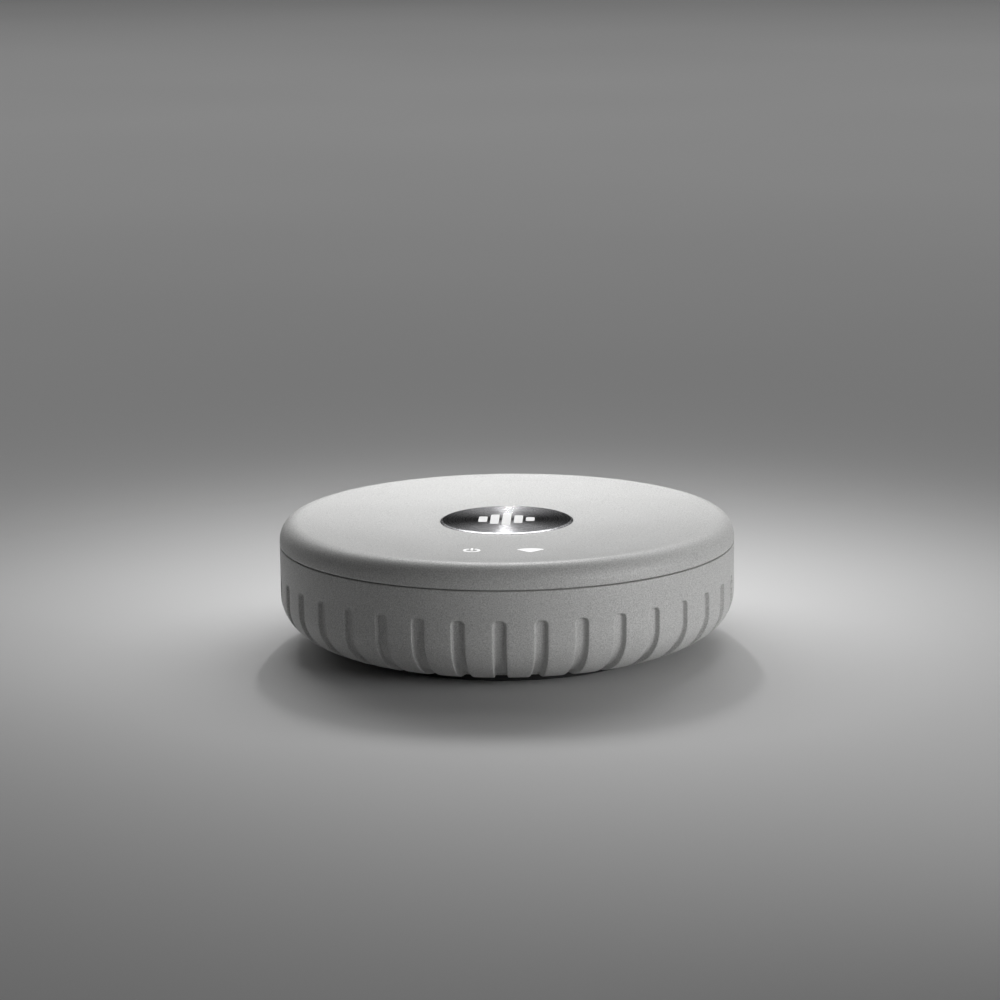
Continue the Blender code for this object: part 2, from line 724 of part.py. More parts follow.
def make_rca_socket(side, plastic):
    """Plastic body, coloured collar and insulating core in one, and a plated barrel round it."""
    x = RCA_X[side]
    body = box(
        f"rca_{side}_body", plastic,
        (x - RCA_HALF_WIDTH, x + RCA_HALF_WIDTH),
        (RCA_BACK_Y, SOCKET_FRONT_Y),
        (PARTS_Z, SOCKET_BODY_TOP_Z),
    )
    core_tip, out = RCA_TIP_Y - 0.5 * MM, RCA_TIP_Y + 1 * MM
    seat = (RCA_BARREL_R[0] - GAP, RCA_BARREL_R[1] + GAP)
    nose = [
        (0, core_tip),
        (RCA_CORE_R, core_tip),
        (RCA_CORE_R, RCA_COLLAR_Y),
        (RCA_COLLAR_R - 0.4 * MM, RCA_COLLAR_Y),
        (RCA_COLLAR_R, RCA_COLLAR_Y - 0.4 * MM),
        (RCA_COLLAR_R, SOCKET_FRONT_Y - 1 * MM),
        (0, SOCKET_FRONT_Y - 1 * MM),
    ]
    join(body, along_y(f"guide_rca_nose_{side}", None, nose, x, SOCKET_Z, 24))
    groove = [
        (seat[1], out), (seat[1], RCA_SEAT_Y), (seat[0], RCA_SEAT_Y), (seat[0], out)
    ]
    cut(body, along_y(f"cutter_rca_seat_{side}", None, groove, x, SOCKET_Z, 24))
    hole = [(0, out), (RCA_HOLE_R, out), (RCA_HOLE_R, RCA_HOLE_Y), (0, RCA_HOLE_Y)]
    cut(body, along_y(f"cutter_rca_hole_{side}", None, hole, x, SOCKET_Z, 12))
    barrel_foot = RCA_SEAT_Y + GAP
    along_y(
        f"rca_{side}_barrel", NICKEL,
        [
            (RCA_BARREL_R[1] - 0.3 * MM, RCA_TIP_Y),
            (RCA_BARREL_R[1], RCA_TIP_Y - 0.3 * MM),
            (RCA_BARREL_R[1], barrel_foot),
            (RCA_BARREL_R[0], barrel_foot),
            (RCA_BARREL_R[0], RCA_TIP_Y),
        ],
        x, SOCKET_Z, 24,
    )


def make_optical_socket():
    x, half = OPTICAL_X, OPTICAL_MOUTH[0]
    mouth_z = (SOCKET_Z - OPTICAL_MOUTH[1], SOCKET_Z + OPTICAL_MOUTH[1])
    front = OPTICAL_Y[1]
    lip_back, chamber_back = front - OPTICAL_LIP, front - OPTICAL_CHAMBER_DEPTH
    body = box(
        "optical_jack", BLACK_PLASTIC,
        (x - OPTICAL_HALF_WIDTH, x + OPTICAL_HALF_WIDTH), OPTICAL_Y, OPTICAL_Z,
    )
    cut(body, box("cutter_optical_mouth", None, (x - half, x + half),
                  (lip_back - 1 * MM, front + 1 * MM), mouth_z))
    cut(body, box("cutter_optical_chamber", None, (x - half, x + half),
                  (chamber_back, lip_back), (mouth_z[0], OPTICAL_CHAMBER_TOP_Z)))
    hinge_y, hinge_z = SHUTTER_HINGE
    pocket = turned(
        "cutter_optical_pivot", None,
        [
            (0, 5.0 * MM),
            (SHUTTER_PIVOT_R + GAP, 5.0 * MM),
            (SHUTTER_PIVOT_R + GAP, -5.0 * MM),
            (0, -5.0 * MM),
        ],
        12, location=(x, hinge_y, hinge_z), rotation=(0, math.pi / 2, 0),
    )
    cut(body, pocket)
    floor = OPTICAL_BORE_Y
    bore = [(0, front), (OPTICAL_BORE_R, front), (OPTICAL_BORE_R, floor), (0, floor)]
    cut(body, along_y("cutter_optical_bore", None, bore, x, SOCKET_Z, 12))
    foot = floor + GAP
    lens = [(0, foot + 0.6 * MM), (1 * MM, foot + 0.2 * MM), (1 * MM, foot), (0, foot)]
    along_y("optical_emitter", CLEAR_PLASTIC, lens, x, SOCKET_Z, 12)
    make_optical_shutter()


def make_optical_shutter():
    """A sprung flap behind the mouth. Its origin is on its pivot, at its top edge."""
    half, drop = OPTICAL_MOUTH[0] - GAP, SHUTTER_DROP
    bm = bmesh.new()
    plate = Matrix.Translation((0, 0, -drop / 2)) @ Matrix.Diagonal(
        (2 * half, SHUTTER_THICKNESS, drop, 1)
    )
    bmesh.ops.create_cube(bm, size=1, matrix=plate)
    location = (OPTICAL_X, *SHUTTER_HINGE)
    shutter = place("optical_shutter", mesh_from(bm, "optical_shutter"), BLACK_PLASTIC, location)
    reach = SHUTTER_PIVOT_REACH
    pivot = turned(
        "guide_shutter_pivot", None,
        [(0, reach), (SHUTTER_PIVOT_R, reach), (SHUTTER_PIVOT_R, -reach), (0, -reach)],
        10, location=location, rotation=(0, math.pi / 2, 0),
    )
    join(shutter, pivot)


def make_pair_button():
    """A capped plunger on a right-angle tactile switch."""
    flange_y = (BUTTON_FOOT_Y, SOCKET_FRONT_Y - 0.3 * MM)
    along_y(
        "pair_button_cap", DARK_PLASTIC,
        [
            (0, BUTTON_TIP_Y),
            (BUTTON_R - 0.4 * MM, BUTTON_TIP_Y),
            (BUTTON_R, BUTTON_TIP_Y - 0.3 * MM),
            (BUTTON_R, flange_y[1]),
            (BUTTON_FLANGE_R, flange_y[1]),
            (BUTTON_FLANGE_R, flange_y[0]),
            (0, flange_y[0]),
        ],
        BUTTON_X, SOCKET_Z, 20,
    )
    back, front = PLUNGER_BACK_Y, BUTTON_FOOT_Y - GAP
    along_y(
        "pair_switch_plunger", WHITE_PLASTIC,
        [(0, front), (PLUNGER_R, front), (PLUNGER_R, back), (0, back)],
        BUTTON_X, SOCKET_Z, 12,
    )
    switch = box(
        "pair_switch_body", DARK_PLASTIC,
        (BUTTON_X - 2.8 * MM, BUTTON_X + 2.8 * MM),
        SWITCH_Y,
        (PARTS_Z, SOCKET_Z + 2.9 * MM),
    )
    mouth, radius = SWITCH_Y[1] + 1 * MM, PLUNGER_R + GAP
    well = [(0, mouth), (radius, mouth), (radius, SWITCH_WELL_Y), (0, SWITCH_WELL_Y)]
    cut(switch, along_y("cutter_switch_well", None, well, BUTTON_X, SOCKET_Z, 12))


# ---- Touch symbols and the board under them --------------------------------------------------
def flat_shape(name, material, outline, z):
    """A solid with a flat outline, between two heights."""
    curve = bpy.data.curves.new(name, "CURVE")
    curve.dimensions = "2D"
    curve.fill_mode = "BOTH"
    curve.extrude = (z[1] - z[0]) / 2
    line = curve.splines.new("POLY")
    line.use_cyclic_u = True
    line.points.add(len(outline) - 1)
    for point, (x, y) in zip(line.points, outline):
        point.co = (x, y, 0, 1)
    drawn = bpy.data.objects.new(name, curve)
    CUTTERS.objects.link(drawn)
    bm = bmesh.new()
    bm.from_mesh(evaluated_mesh(drawn))
    bmesh.ops.remove_doubles(bm, verts=bm.verts, dist=0.00001)
    bmesh.ops.recalc_face_normals(bm, faces=bm.faces)
    return place(name, mesh_from(bm, name), material, (0, 0, (z[0] + z[1]) / 2))


def arc(centre, radius, start, end, count):
    x, y = centre
    angles = [math.radians(start + (end - start) * i / count) for i in range(count + 1)]
    return [(x + radius * math.cos(a), y + radius * math.sin(a)) for a in angles]


def power_outlines(grow):
    """An open ring and the bar in its gap."""
    x, y = centre = (POWER_X, SYMBOL_Y)
    half_gap = POWER_GAP_HALF_ANGLE - math.degrees(grow / POWER_RING_R)
    start, end = 90 + half_gap, 450 - half_gap
    stroke = POWER_STROKE / 2 + grow
    ring_shape = arc(centre, POWER_RING_R + stroke, start, end, 20)
    ring_shape += arc(centre, POWER_RING_R - stroke, end, start, 20)
    half = POWER_BAR_WIDTH / 2 + grow
    low, high = y + POWER_BAR_Y[0] - grow, y + POWER_BAR_Y[1] + grow
    bar = [(x - half, low), (x + half, low), (x + half, high), (x - half, high)]
    return ring_shape, bar


def wireless_outlines(grow):
    """A fan that opens towards the back."""
    half, tip_r = WIRELESS_HALF_ANGLE, WIRELESS_TIP_R + grow
    lean = math.sin(math.radians(half))
    tip = (WIRELESS_X, SYMBOL_Y + WIRELESS_TIP_Y - grow / lean)
    fan = arc(tip, WIRELESS_R + grow / lean + grow, 90 - half, 90 + half, 10)
    fan += arc((tip[0], tip[1] + tip_r / lean), tip_r, 180 + half, 360 - half, 5)
    return (fan,)


def make_light_guide(name, outlines, at, radius):
    """A clear disc whose raised symbol fills matching openings in the lid."""
    guide = disc(name, CLEAR_PLASTIC, radius, GUIDE_Z, 20, at)
    raised = (GUIDE_Z[1] - 0.5 * MM, dish_z(DISH_MIDDLE_R) - 0.05 * MM)
    for i, outline in enumerate(outlines):
        join(guide, flat_shape(f"guide_{name}_{i}", None, outline, raised))


def cut_symbol_openings(lid):
    outlines = power_outlines(SYMBOL_GAP) + wireless_outlines(SYMBOL_GAP)
    for i, outline in enumerate(outlines):
        cut(lid, flat_shape(f"cutter_symbol_{i}", None, outline, (31 * MM, 37 * MM)))


def make_touch_board():
    width, depth = TOUCH_BOARD
    board = box(
        "touch_board", BOARD_GREEN,
        (-width / 2, width / 2),
        (SYMBOL_Y - depth / 2, SYMBOL_Y + depth / 2),
        TOUCH_BOARD_Z,
    )
    for i, x in enumerate(TOUCH_SCREW_X):
        at = (x, SYMBOL_Y)
        through = (TOUCH_BOARD_Z[0] - 1 * MM, TOUCH_BOARD_Z[1] + 1 * MM)
        cut(board, disc(f"cutter_touch_screw_{i}", None, TOUCH_BORE_R, through, 12, at))
        head = TOUCH_BOARD_Z[0] - GAP
        turned(
            f"touch_screw_{i + 1}", STEEL,
            [
                (0, 31.6 * MM),
                (TOUCH_SCREW_R, 31.2 * MM),
                (TOUCH_SCREW_R, head),
                (1.9 * MM, head),
                (1.9 * MM, head - 1.3 * MM),
                (0, head - 1.3 * MM),
            ],
            10, location=(*at, 0),
        )
    led_z = (TOUCH_BOARD_Z[1] + GAP, TOUCH_BOARD_Z[1] + 0.9 * MM)
    shroud = box(
        "light_shroud", BLACK_PLASTIC,
        (-SHROUD[0] / 2, SHROUD[0] / 2),
        (SYMBOL_Y - SHROUD[1] / 2, SYMBOL_Y + SHROUD[1] / 2),
        (TOUCH_BOARD_Z[1] + GAP, GUIDE_Z[1]),
    )
    symbols = (
        ("power", POWER_X, power_outlines(0)),
        ("wireless", WIRELESS_X, wireless_outlines(0)),
    )
    for name, x, outlines in symbols:
        at, radius = (x, SYMBOL_Y), GUIDE_R[name]
        cut(shroud, disc(f"cutter_well_{name}", None, radius + GAP, (28 * MM, 34 * MM), 20, at))
        make_light_guide(f"{name}_light_guide", outlines, at, radius)
        box(
            f"{name}_led", WHITE_PLASTIC,
            (x - 0.8 * MM, x + 0.8 * MM),
            (SYMBOL_Y - 0.4 * MM, SYMBOL_Y + 0.4 * MM),
            led_z,
        )
    wide, deep, high = RIBBON_SOCKET
    socket_top = TOUCH_BOARD_Z[0] - GAP
    box(
        "touch_ribbon_socket", WHITE_PLASTIC,
        (-wide / 2, wide / 2),
        (RIBBON_SOCKET_Y - deep / 2, RIBBON_SOCKET_Y + deep / 2),
        (socket_top - high, socket_top),
    )
    make_ribbon(socket_top - high / 2)


def make_ribbon(top_z):
    """A flat flex that bows from the touch board's socket to the main board's."""
    start_y = RIBBON_SOCKET_Y + RIBBON_SOCKET[1] / 2 + GAP
    bottom_z = PARTS_Z + RIBBON_SOCKET[2] / 2
    count = 14
    bm = bmesh.new()
    rows = []
    for i in range(count + 1):
        t = math.pi * i / count
        y = start_y + RIBBON_BOW * math.sin(t)
        z = (top_z + bottom_z) / 2 + (top_z - bottom_z) / 2 * math.cos(t)
        edges = (-RIBBON_HALF_WIDTH, RIBBON_HALF_WIDTH)
        rows.append([bm.verts.new((x, y, z)) for x in edges])
    for a, b in zip(rows, rows[1:]):
        bm.faces.new((a[0], a[1], b[1], b[0]))
    flex = place("ribbon_cable", mesh_from(bm, "ribbon_cable"), WHITE_PLASTIC)
    thick = flex.modifiers.new("thickness", "SOLIDIFY")
    thick.thickness = RIBBON_THICKNESS
    thick.offset = 0


# ---- Antennas ----------------------------------------------------------------------------------
def make_antennas():
    for side, sign in (("right", 1), ("left", -1)):
        x = sign * ANTENNA_X
        box(
            f"antenna_{side}", BOARD_GREEN,
            (x - ANTENNA_THICKNESS / 2, x + ANTENNA_THICKNESS / 2), ANTENNA_Y, ANTENNA_Z,
        )
    over_board = 15.6 * MM
    make_lead("antenna_lead_right", [
        (ANTENNA_X, 0, 16.6 * MM), (54 * MM, 0, 14.2 * MM), (48 * MM, -3 * MM, over_board),
        (38 * MM, -6 * MM, over_board), (28 * MM, -3 * MM, 14.9 * MM),
        (20 * MM, 0, 14.0 * MM),
    ])
    make_lead("antenna_lead_left", [
        (-ANTENNA_X, 0, 16.6 * MM), (-54 * MM, -2 * MM, 14.2 * MM),
        (-44 * MM, -9 * MM, over_board), (-26 * MM, -14 * MM, over_board),
        (-6 * MM, -12 * MM, over_board), (6 * MM, -6 * MM, 14.9 * MM),
        (13 * MM, 0, 14.0 * MM),
    ])


def make_lead(name, route):
    """A thin coaxial lead along a smooth curve through its route's points."""
    points = [Vector(p) for p in route]
    padded = [2 * points[0] - points[1], *points, 2 * points[-1] - points[-2]]
    path = []
    for p0, p1, p2, p3 in zip(padded, padded[1:], padded[2:], padded[3:]):
        for k in range(4):
            t = k / 4
            path.append(
                0.5 * (2 * p1 + (p2 - p0) * t + (2 * p0 - 5 * p1 + 4 * p2 - p3) * t**2
                       + (3 * p1 - p0 - 3 * p2 + p3) * t**3)
            )
    path.append(points[-1])
    curve = bpy.data.curves.new(name, "CURVE")
    curve.dimensions = "3D"
    curve.bevel_depth = LEAD_R
    curve.bevel_resolution = 0
    curve.use_fill_caps = True
    line = curve.splines.new("POLY")
    line.points.add(len(path) - 1)
    for point, at in zip(line.points, path):
        point.co = (*at, 1)
    place(name, curve, BLACK_PLASTIC)


# ---- Build -------------------------------------------------------------------------------------
clear_scene()
RECEIVER = new_collection("wireless_audio_receiver")
CUTTERS = new_collection("cutters")

PAINT = make_material("shell_paint", (0.62, 0.62, 0.61), 0.45)
ALUMINIUM = make_material("spun_aluminium", (0.62, 0.62, 0.63), 0.28, metallic=1.0)
BLACK_PLASTIC = make_material("black_plastic", (0.02, 0.02, 0.022), 0.5)
DARK_PLASTIC = make_material("dark_plastic", (0.06, 0.06, 0.065), 0.4)
WHITE_PLASTIC = make_material("white_plastic", (0.8, 0.8, 0.78), 0.4)
RED_PLASTIC = make_material("red_plastic", (0.55, 0.02, 0.02), 0.4)
RUBBER = make_material("rubber", (0.03, 0.03, 0.03), 0.85)
STEEL = make_material("steel", (0.5, 0.5, 0.5), 0.35, metallic=1.0)
TIN = make_material("tin_plate", (0.72, 0.72, 0.7), 0.3, metallic=1.0)
NICKEL = make_material("nickel_plate", (0.66, 0.63, 0.57), 0.2, metallic=1.0)
BOARD_GREEN = make_material("circuit_board", (0.02, 0.12, 0.06), 0.4)
CHIP_BLACK = make_material("chip_black", (0.03, 0.03, 0.035), 0.55)
ADHESIVE = make_material("adhesive", (0.6, 0.6, 0.55), 0.7)
CLEAR_PLASTIC = make_material("clear_plastic", (0.9, 0.9, 0.9), 0.15, alpha=0.5)

make_lower_housing()
make_top_cover()
make_badge()
make_base()
make_main_board()
make_small_electronics()
make_port_panel()
make_dc_inlet()
make_rca_socket("right", RED_PLASTIC)
make_rca_socket("left", WHITE_PLASTIC)
make_optical_socket()
make_pair_button()
make_touch_board()
make_antennas()
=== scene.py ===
"""The looks of the round wireless audio receiver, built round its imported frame.

Metres, +Z up, the front facing -Y and the socket bay facing +Y, as in the frame. The shells are
rebuilt with smooth curves and soft-edged flutes, the badge, sockets and base with fine edges, and
every surface gets a material made from nodes.
"""

import bisect
import json
import math

import bmesh
import bpy
from mathutils import Matrix, Vector


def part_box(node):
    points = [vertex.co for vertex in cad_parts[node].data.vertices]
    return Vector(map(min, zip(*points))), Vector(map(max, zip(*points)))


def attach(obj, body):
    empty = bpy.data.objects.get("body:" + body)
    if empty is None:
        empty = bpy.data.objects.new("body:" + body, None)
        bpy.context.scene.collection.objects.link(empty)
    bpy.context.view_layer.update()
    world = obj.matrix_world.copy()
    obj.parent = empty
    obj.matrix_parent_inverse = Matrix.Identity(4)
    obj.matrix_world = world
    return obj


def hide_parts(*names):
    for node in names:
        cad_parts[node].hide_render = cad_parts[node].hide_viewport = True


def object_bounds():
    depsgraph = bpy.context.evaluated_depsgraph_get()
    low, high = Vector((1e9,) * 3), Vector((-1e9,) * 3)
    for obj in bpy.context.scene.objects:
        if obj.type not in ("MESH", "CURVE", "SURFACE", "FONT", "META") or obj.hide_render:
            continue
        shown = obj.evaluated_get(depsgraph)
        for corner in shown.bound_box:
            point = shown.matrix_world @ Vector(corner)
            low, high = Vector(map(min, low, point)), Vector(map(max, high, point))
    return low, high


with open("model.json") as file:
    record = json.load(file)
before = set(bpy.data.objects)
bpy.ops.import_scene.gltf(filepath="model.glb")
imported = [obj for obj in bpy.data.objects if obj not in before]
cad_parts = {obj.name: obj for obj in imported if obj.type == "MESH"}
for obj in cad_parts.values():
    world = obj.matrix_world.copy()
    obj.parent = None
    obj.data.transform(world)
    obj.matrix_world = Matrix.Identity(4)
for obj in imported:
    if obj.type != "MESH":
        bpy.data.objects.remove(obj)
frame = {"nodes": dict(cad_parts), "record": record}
CAD_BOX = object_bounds()

MM = 0.001
GAP = 0.3 * MM  # between neighbouring pieces, as in the frame
CREASE = 32  # degrees, from which an edge is shaded sharp

# ---- Sizes, read from the frame or shared with its design --------------------------------------
HOUSING_LOW, HOUSING_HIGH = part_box("lower_housing")
LID_LOW, LID_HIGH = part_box("top_cover")
BADGE_LOW, BADGE_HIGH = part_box("badge_disc")
FOOT_LOW, FOOT_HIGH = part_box("foot_ring")
PANEL_LOW, PANEL_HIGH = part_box("port_panel")

BODY_RADIUS = LID_HIGH.x
UNDERSIDE_Z = HOUSING_LOW.z
HOUSING_TOP_Z = HOUSING_HIGH.z
LID_EDGE_Z = HOUSING_TOP_Z + GAP
RIM_Z = LID_HIGH.z
FACE_Y = PANEL_HIGH.y

CURL_TOP_Z = 16.0 * MM  # the wall is upright above this and curls under below it
CURL_WIDTH = 18.35 * MM
CURL_POWER = 2.12
CURL_STEPS = 600
HOLE_R = BODY_RADIUS - CURL_WIDTH  # round the base plate
WALL = 3.4 * MM
FLANGE = {"inner_r": 40.5 * MM, "outer_r": 50 * MM, "low": 5.3 * MM, "high": 7 * MM}
TOP_EDGE_FILLET = 0.3 * MM
LIP_FILLET = 0.4 * MM
PLAIN_BAND = 2 * MM  # rows of the plain band above the flutes are this far apart

FLUTE_COUNT = 36
FLUTES_MISSING_EACH_SIDE = 3
FLUTE_HALF_WIDTH = 2.0 * MM
FLUTE_DEPTH = 1.3 * MM
FLUTE_TOP_Z = HOUSING_TOP_Z + GAP / 2 - 7.8 * MM
FLUTE_CORNER = 1.5 * MM
FLUTE_END_R = 45.5 * MM
FADE_LENGTH = 1.8 * MM  # over which a flute runs out on the underside
WALL_ANGLE = math.radians(75)
UPPER_FILLET = 0.30 * MM
LOWER_FILLET = 0.50 * MM
FILLET_STEPS = 5
LEG_STEPS = 34
CORNER_STEPS = 10
FLAT_STEPS = 2  # in each half of a flute's straight top edge
LAND_PARTS = (0, 0.4, 0.75)  # where rows of points lie between a sector's edge and its flute
SECTOR_TOP = -2.6 * MM  # where the plain band above the flutes starts
PLAIN_COLUMNS = 5  # of faces in a sector with no flute

SHOULDER_WIDTH = 5.0 * MM
SHOULDER_HEIGHT = 5.6 * MM
SHOULDER_POWER = 2.1
RIM_R = BODY_RADIUS - SHOULDER_WIDTH
BADGE_R = BADGE_HIGH.x
DISH_EDGE_Z = BADGE_HIGH.z - 0.3 * MM
DISH_RISE = (RIM_Z - DISH_EDGE_Z) / (RIM_R**2 - BADGE_R**2)
DISH_ROWS = 28
SHOULDER_ROWS = 26
LID_WALL = 2.2 * MM
RECESS_R = BADGE_R + 0.12 * MM
RECESS_Z = BADGE_LOW.z - 0.85 * MM  # leaves room for the adhesive disc
RECESS_WALL = 1.2 * MM
CEILING_R = (38 * MM, RIM_R - 2 * MM)  # where the underside's slope changes
SKIRT_R = (57.4 * MM, 58.8 * MM)
SKIRT_Z = 26.7 * MM
SKIRT_TOP_Z = 31.6 * MM
POST_TOP_Z = 34 * MM  # within the lid's thickness, where its posts and bosses start
PINHOLE_R = 0.02 * MM  # up the axis of a turned ring that stands for a solid post
COLUMN_R = 3.7 * MM
COLUMN_AT_R = 35.5 * MM
COLUMN_ANGLES = (45, 135, 225, 315)
COLUMN_HOLE_Z = 20 * MM
BASE_BOSS_R = 4.4 * MM
BASE_BOSS_Z = 7.6 * MM
SCREW_BORE_R = 1.8 * MM
SCREW_HEAD_R = 3.0 * MM
SCREW_SEAT_Z = 5.8 * MM
STANDOFF_AT_R = 36.5 * MM
STANDOFF_R = 3.0 * MM
STANDOFF_Z = 8.7 * MM
STANDOFF_HOLE_R = 1.5 * MM
STANDOFF_HOLE_Z = 5.6 * MM
STANDOFF_ANGLES = (0, 180, 250)
PLATE_TOP_Z = 5.0 * MM
PLATE_POST_Z = 4.2 * MM  # within the plate's thickness, where its posts start

SYMBOL_Y = -40.1 * MM
POWER_X = -7.9 * MM
POWER_RING_R = 1.95 * MM
POWER_STROKE = 0.66 * MM
POWER_BAR_WIDTH = 0.60 * MM
POWER_BAR_Y = (0.0, 2.95 * MM)
POWER_BAR_CORNER = 0.15 * MM
POWER_GAP_HALF_ANGLE = 23
WIRELESS_X = 7.57 * MM
WIRELESS_R = 5.3 * MM
WIRELESS_HALF_ANGLE = 42
WIRELESS_TIP_Y = -2.77 * MM
WIRELESS_TIP_R = 0.70 * MM
SYMBOL_CLEARANCE = 0.04 * MM
SYMBOL_PROUD = 0.015 * MM
SYMBOL_FOOT_Z = 32.0 * MM  # within the light guide, where its raised symbol starts
OPENING_Z = (31 * MM, 37 * MM)
GUIDE_TOP_Z = 32.6 * MM
TOUCH_SCREW_X = (-16.2 * MM, 16.2 * MM)
TOUCH_BOSS_R = 2.2 * MM
TOUCH_BORE_R = 1.3 * MM
TOUCH_HOLE_Z = 32 * MM

FOOT_IN_R = 32.0 * MM
FOOT_OUT_R = FOOT_HIGH.x
FOOT_GROOVES_R = (35.2 * MM, 37.6 * MM)

BAY_HALF_WIDTH = 28 * MM
BAY_Z = (10.0 * MM, 24.6 * MM)
BAY_CORNER = 3.0 * MM
BAY_CORNER_STEPS = 8
BAY_END_STEPS = 8
BAY_SIDE_STEPS = 36
BAY_WALL = 2.0 * MM
BAY_TOP_WALL = 1.8 * MM
BAY_FILLET = 0.9 * MM
BAY_FILLET_TURN = math.radians(76)
BAY_FLARE = 2 * MM
BAY_BLOCK_INSET = 1.2 * MM
SOCKET_Z = 17.3 * MM
DC_X = 21.5 * MM
RCA_X = {"right": 9.0 * MM, "left": -4.5 * MM}
OPTICAL_X = -16.0 * MM
BUTTON_X = -25.0 * MM
SOCKET_FRONT_Y = PANEL_LOW.y - GAP
DC_R = 4.2 * MM
DC_BORE_R = 3.2 * MM
DC_BORE_DEPTH = 9 * MM
RCA_HALF_WIDTH = 5.0 * MM
COLLAR_R = 5.2 * MM
CORE_R = 3.2 * MM
CORE_GROOVE_R = 3.25 * MM
BARREL_R = (3.55 * MM, 4.15 * MM)
CENTRE_HOLE_R = 1.65 * MM
BUTTON_R = 2.0 * MM
OPTICAL_HALF_X = 4.2 * MM
OPTICAL_HALF_Z = 3.15 * MM
OPTICAL_CHAMBER_TOP = 4.5 * MM
OPTICAL_CHAMBER_DEPTH = 9.5 * MM
OPTICAL_BORE_R = 1.3 * MM
SHUTTER_HALF_X = 3.9 * MM
SHUTTER_THICKNESS = 0.7 * MM
SHUTTER_PIN_R = 0.5 * MM
SHUTTER_POCKET_R = 0.8 * MM
SHUTTER_POCKET_REACH = 5 * MM
CUT_CLEAR = 1 * MM  # how far a cutter runs past what it cuts


# ---- Mesh helpers ------------------------------------------------------------------------------
def smooth(mesh, crease=CREASE):
    """Smooth shading, except across edges sharper than crease degrees."""
    mesh.shade_smooth()
    mesh.set_sharp_from_angle(angle=math.radians(crease))


def add_object(name, bm, crease=CREASE):
    """A linked, smooth object from a bmesh, which is used up."""
    mesh = bpy.data.meshes.new(name)
    bm.to_mesh(mesh)
    bm.free()
    smooth(mesh, crease)
    made = bpy.data.objects.new(name, mesh)
    bpy.context.scene.collection.objects.link(made)
    return made


def from_faces(name, points, faces, crease=CREASE):
    """An object from points and faces, which are turned to point outwards."""
    mesh = bpy.data.meshes.new(name)
    mesh.from_pydata(points, [], faces)
    bm = bmesh.new()
    bm.from_mesh(mesh)
    bpy.data.meshes.remove(mesh)
    bmesh.ops.recalc_face_normals(bm, faces=bm.faces)
    return add_object(name, bm, crease)


def arc_points(centre, radius, start, end, count):
    """Points on a flat arc, angles in degrees from +X, both ends included."""
    x, y = centre
    angles = [math.radians(start + (end - start) * i / count) for i in range(count + 1)]
    return [(x + radius * math.cos(a), y + radius * math.sin(a)) for a in angles]


def soften(outline, segments=4, closed=True):
    """An outline of (x, y, corner radius) points with each corner replaced by an arc."""
    softened = []
    count = len(outline)
    for i, (x, y, radius) in enumerate(outline):
        at = Vector((x, y))
        if radius == 0 or (not closed and i in (0, count - 1)):
            softened.append((x, y))
            continue
        before = (Vector(outline[i - 1][:2]) - at).normalized()
        after = (Vector(outline[(i + 1) % count][:2]) - at).normalized()
        half = before.angle(after) / 2
        middle = at + (before + after).normalized() * (radius / math.sin(half))
        first = at + before * (radius / math.tan(half)) - middle
        last = at + after * (radius / math.tan(half)) - middle
        turn = first.angle_signed(last)
        for k in range(segments + 1):
            spoke = first.copy()
            spoke.rotate(Matrix.Rotation(-turn * k / segments, 2))
            softened.append(tuple(middle + spoke))
    return softened


def turned(name, outline, steps=96, segments=4, crease=CREASE):
    """A solid turned about Z from (radius, z, corner radius) points. An outline that starts and
    ends on the axis is closed by it, and any other is a ring."""
    on_axis = outline[0][0] == 0 and outline[-1][0] == 0
    profile = soften(outline, segments, closed=not on_axis)
    points, rings = [], []
    for radius, z in profile:
        if radius == 0:
            rings.append([len(points)] * steps)
            points.append((0, 0, z))
        else:
            rings.append(list(range(len(points), len(points) + steps)))
            for k in range(steps):
                angle = math.tau * k / steps
                points.append((radius * math.cos(angle), radius * math.sin(angle), z))
    pairs = list(zip(rings, rings[1:]))
    if not on_axis:
        pairs.append((rings[-1], rings[0]))
    faces = []
    for upper, lower in pairs:
        for k in range(steps):
            after = (k + 1) % steps
            face = [upper[k], upper[after], lower[after], lower[k]]
            faces.append(list(dict.fromkeys(face)))
    return from_faces(name, points, [f for f in faces if len(f) > 2], crease)


def cylinder(radius, low, high, fillet=0.0):
    """The outline of a plain cylinder, for turned, its top edge softened by fillet."""
    return [(0, high, 0), (radius, high, fillet), (radius, low, 0), (0, low, 0)]


def moved(piece, matrix):
    """Places a piece by moving its mesh, so that every piece keeps the frame's own origin."""
    piece.data.transform(matrix)
    return piece


def around(radius, degrees):
    """The move to a place round the axis, the angle in degrees from +X."""
    angle = math.radians(degrees)
    return Matrix.Translation((radius * math.cos(angle), radius * math.sin(angle), 0))


def turned_back(name, outline, x, steps=64, segments=4):
    """A turned solid whose axis runs along +Y through x, at the height of the sockets."""
    place = Matrix.Translation((x, 0, SOCKET_Z)) @ Matrix.Rotation(-math.pi / 2, 4, "X")
    return moved(turned(name, outline, steps, segments), place)


def prism(name, outline, low, high):
    """A solid with a flat outline in X and Y, between two heights."""
    bm = bmesh.new()
    face = bm.faces.new([bm.verts.new((x, y, low)) for x, y in outline])
    raised = bmesh.ops.extrude_face_region(bm, geom=[face])["geom"]
    bmesh.ops.translate(
        bm, vec=(0, 0, high - low), verts=[v for v in raised if isinstance(v, bmesh.types.BMVert)]
    )
    bmesh.ops.recalc_face_normals(bm, faces=bm.faces)
    return add_object(name, bm)


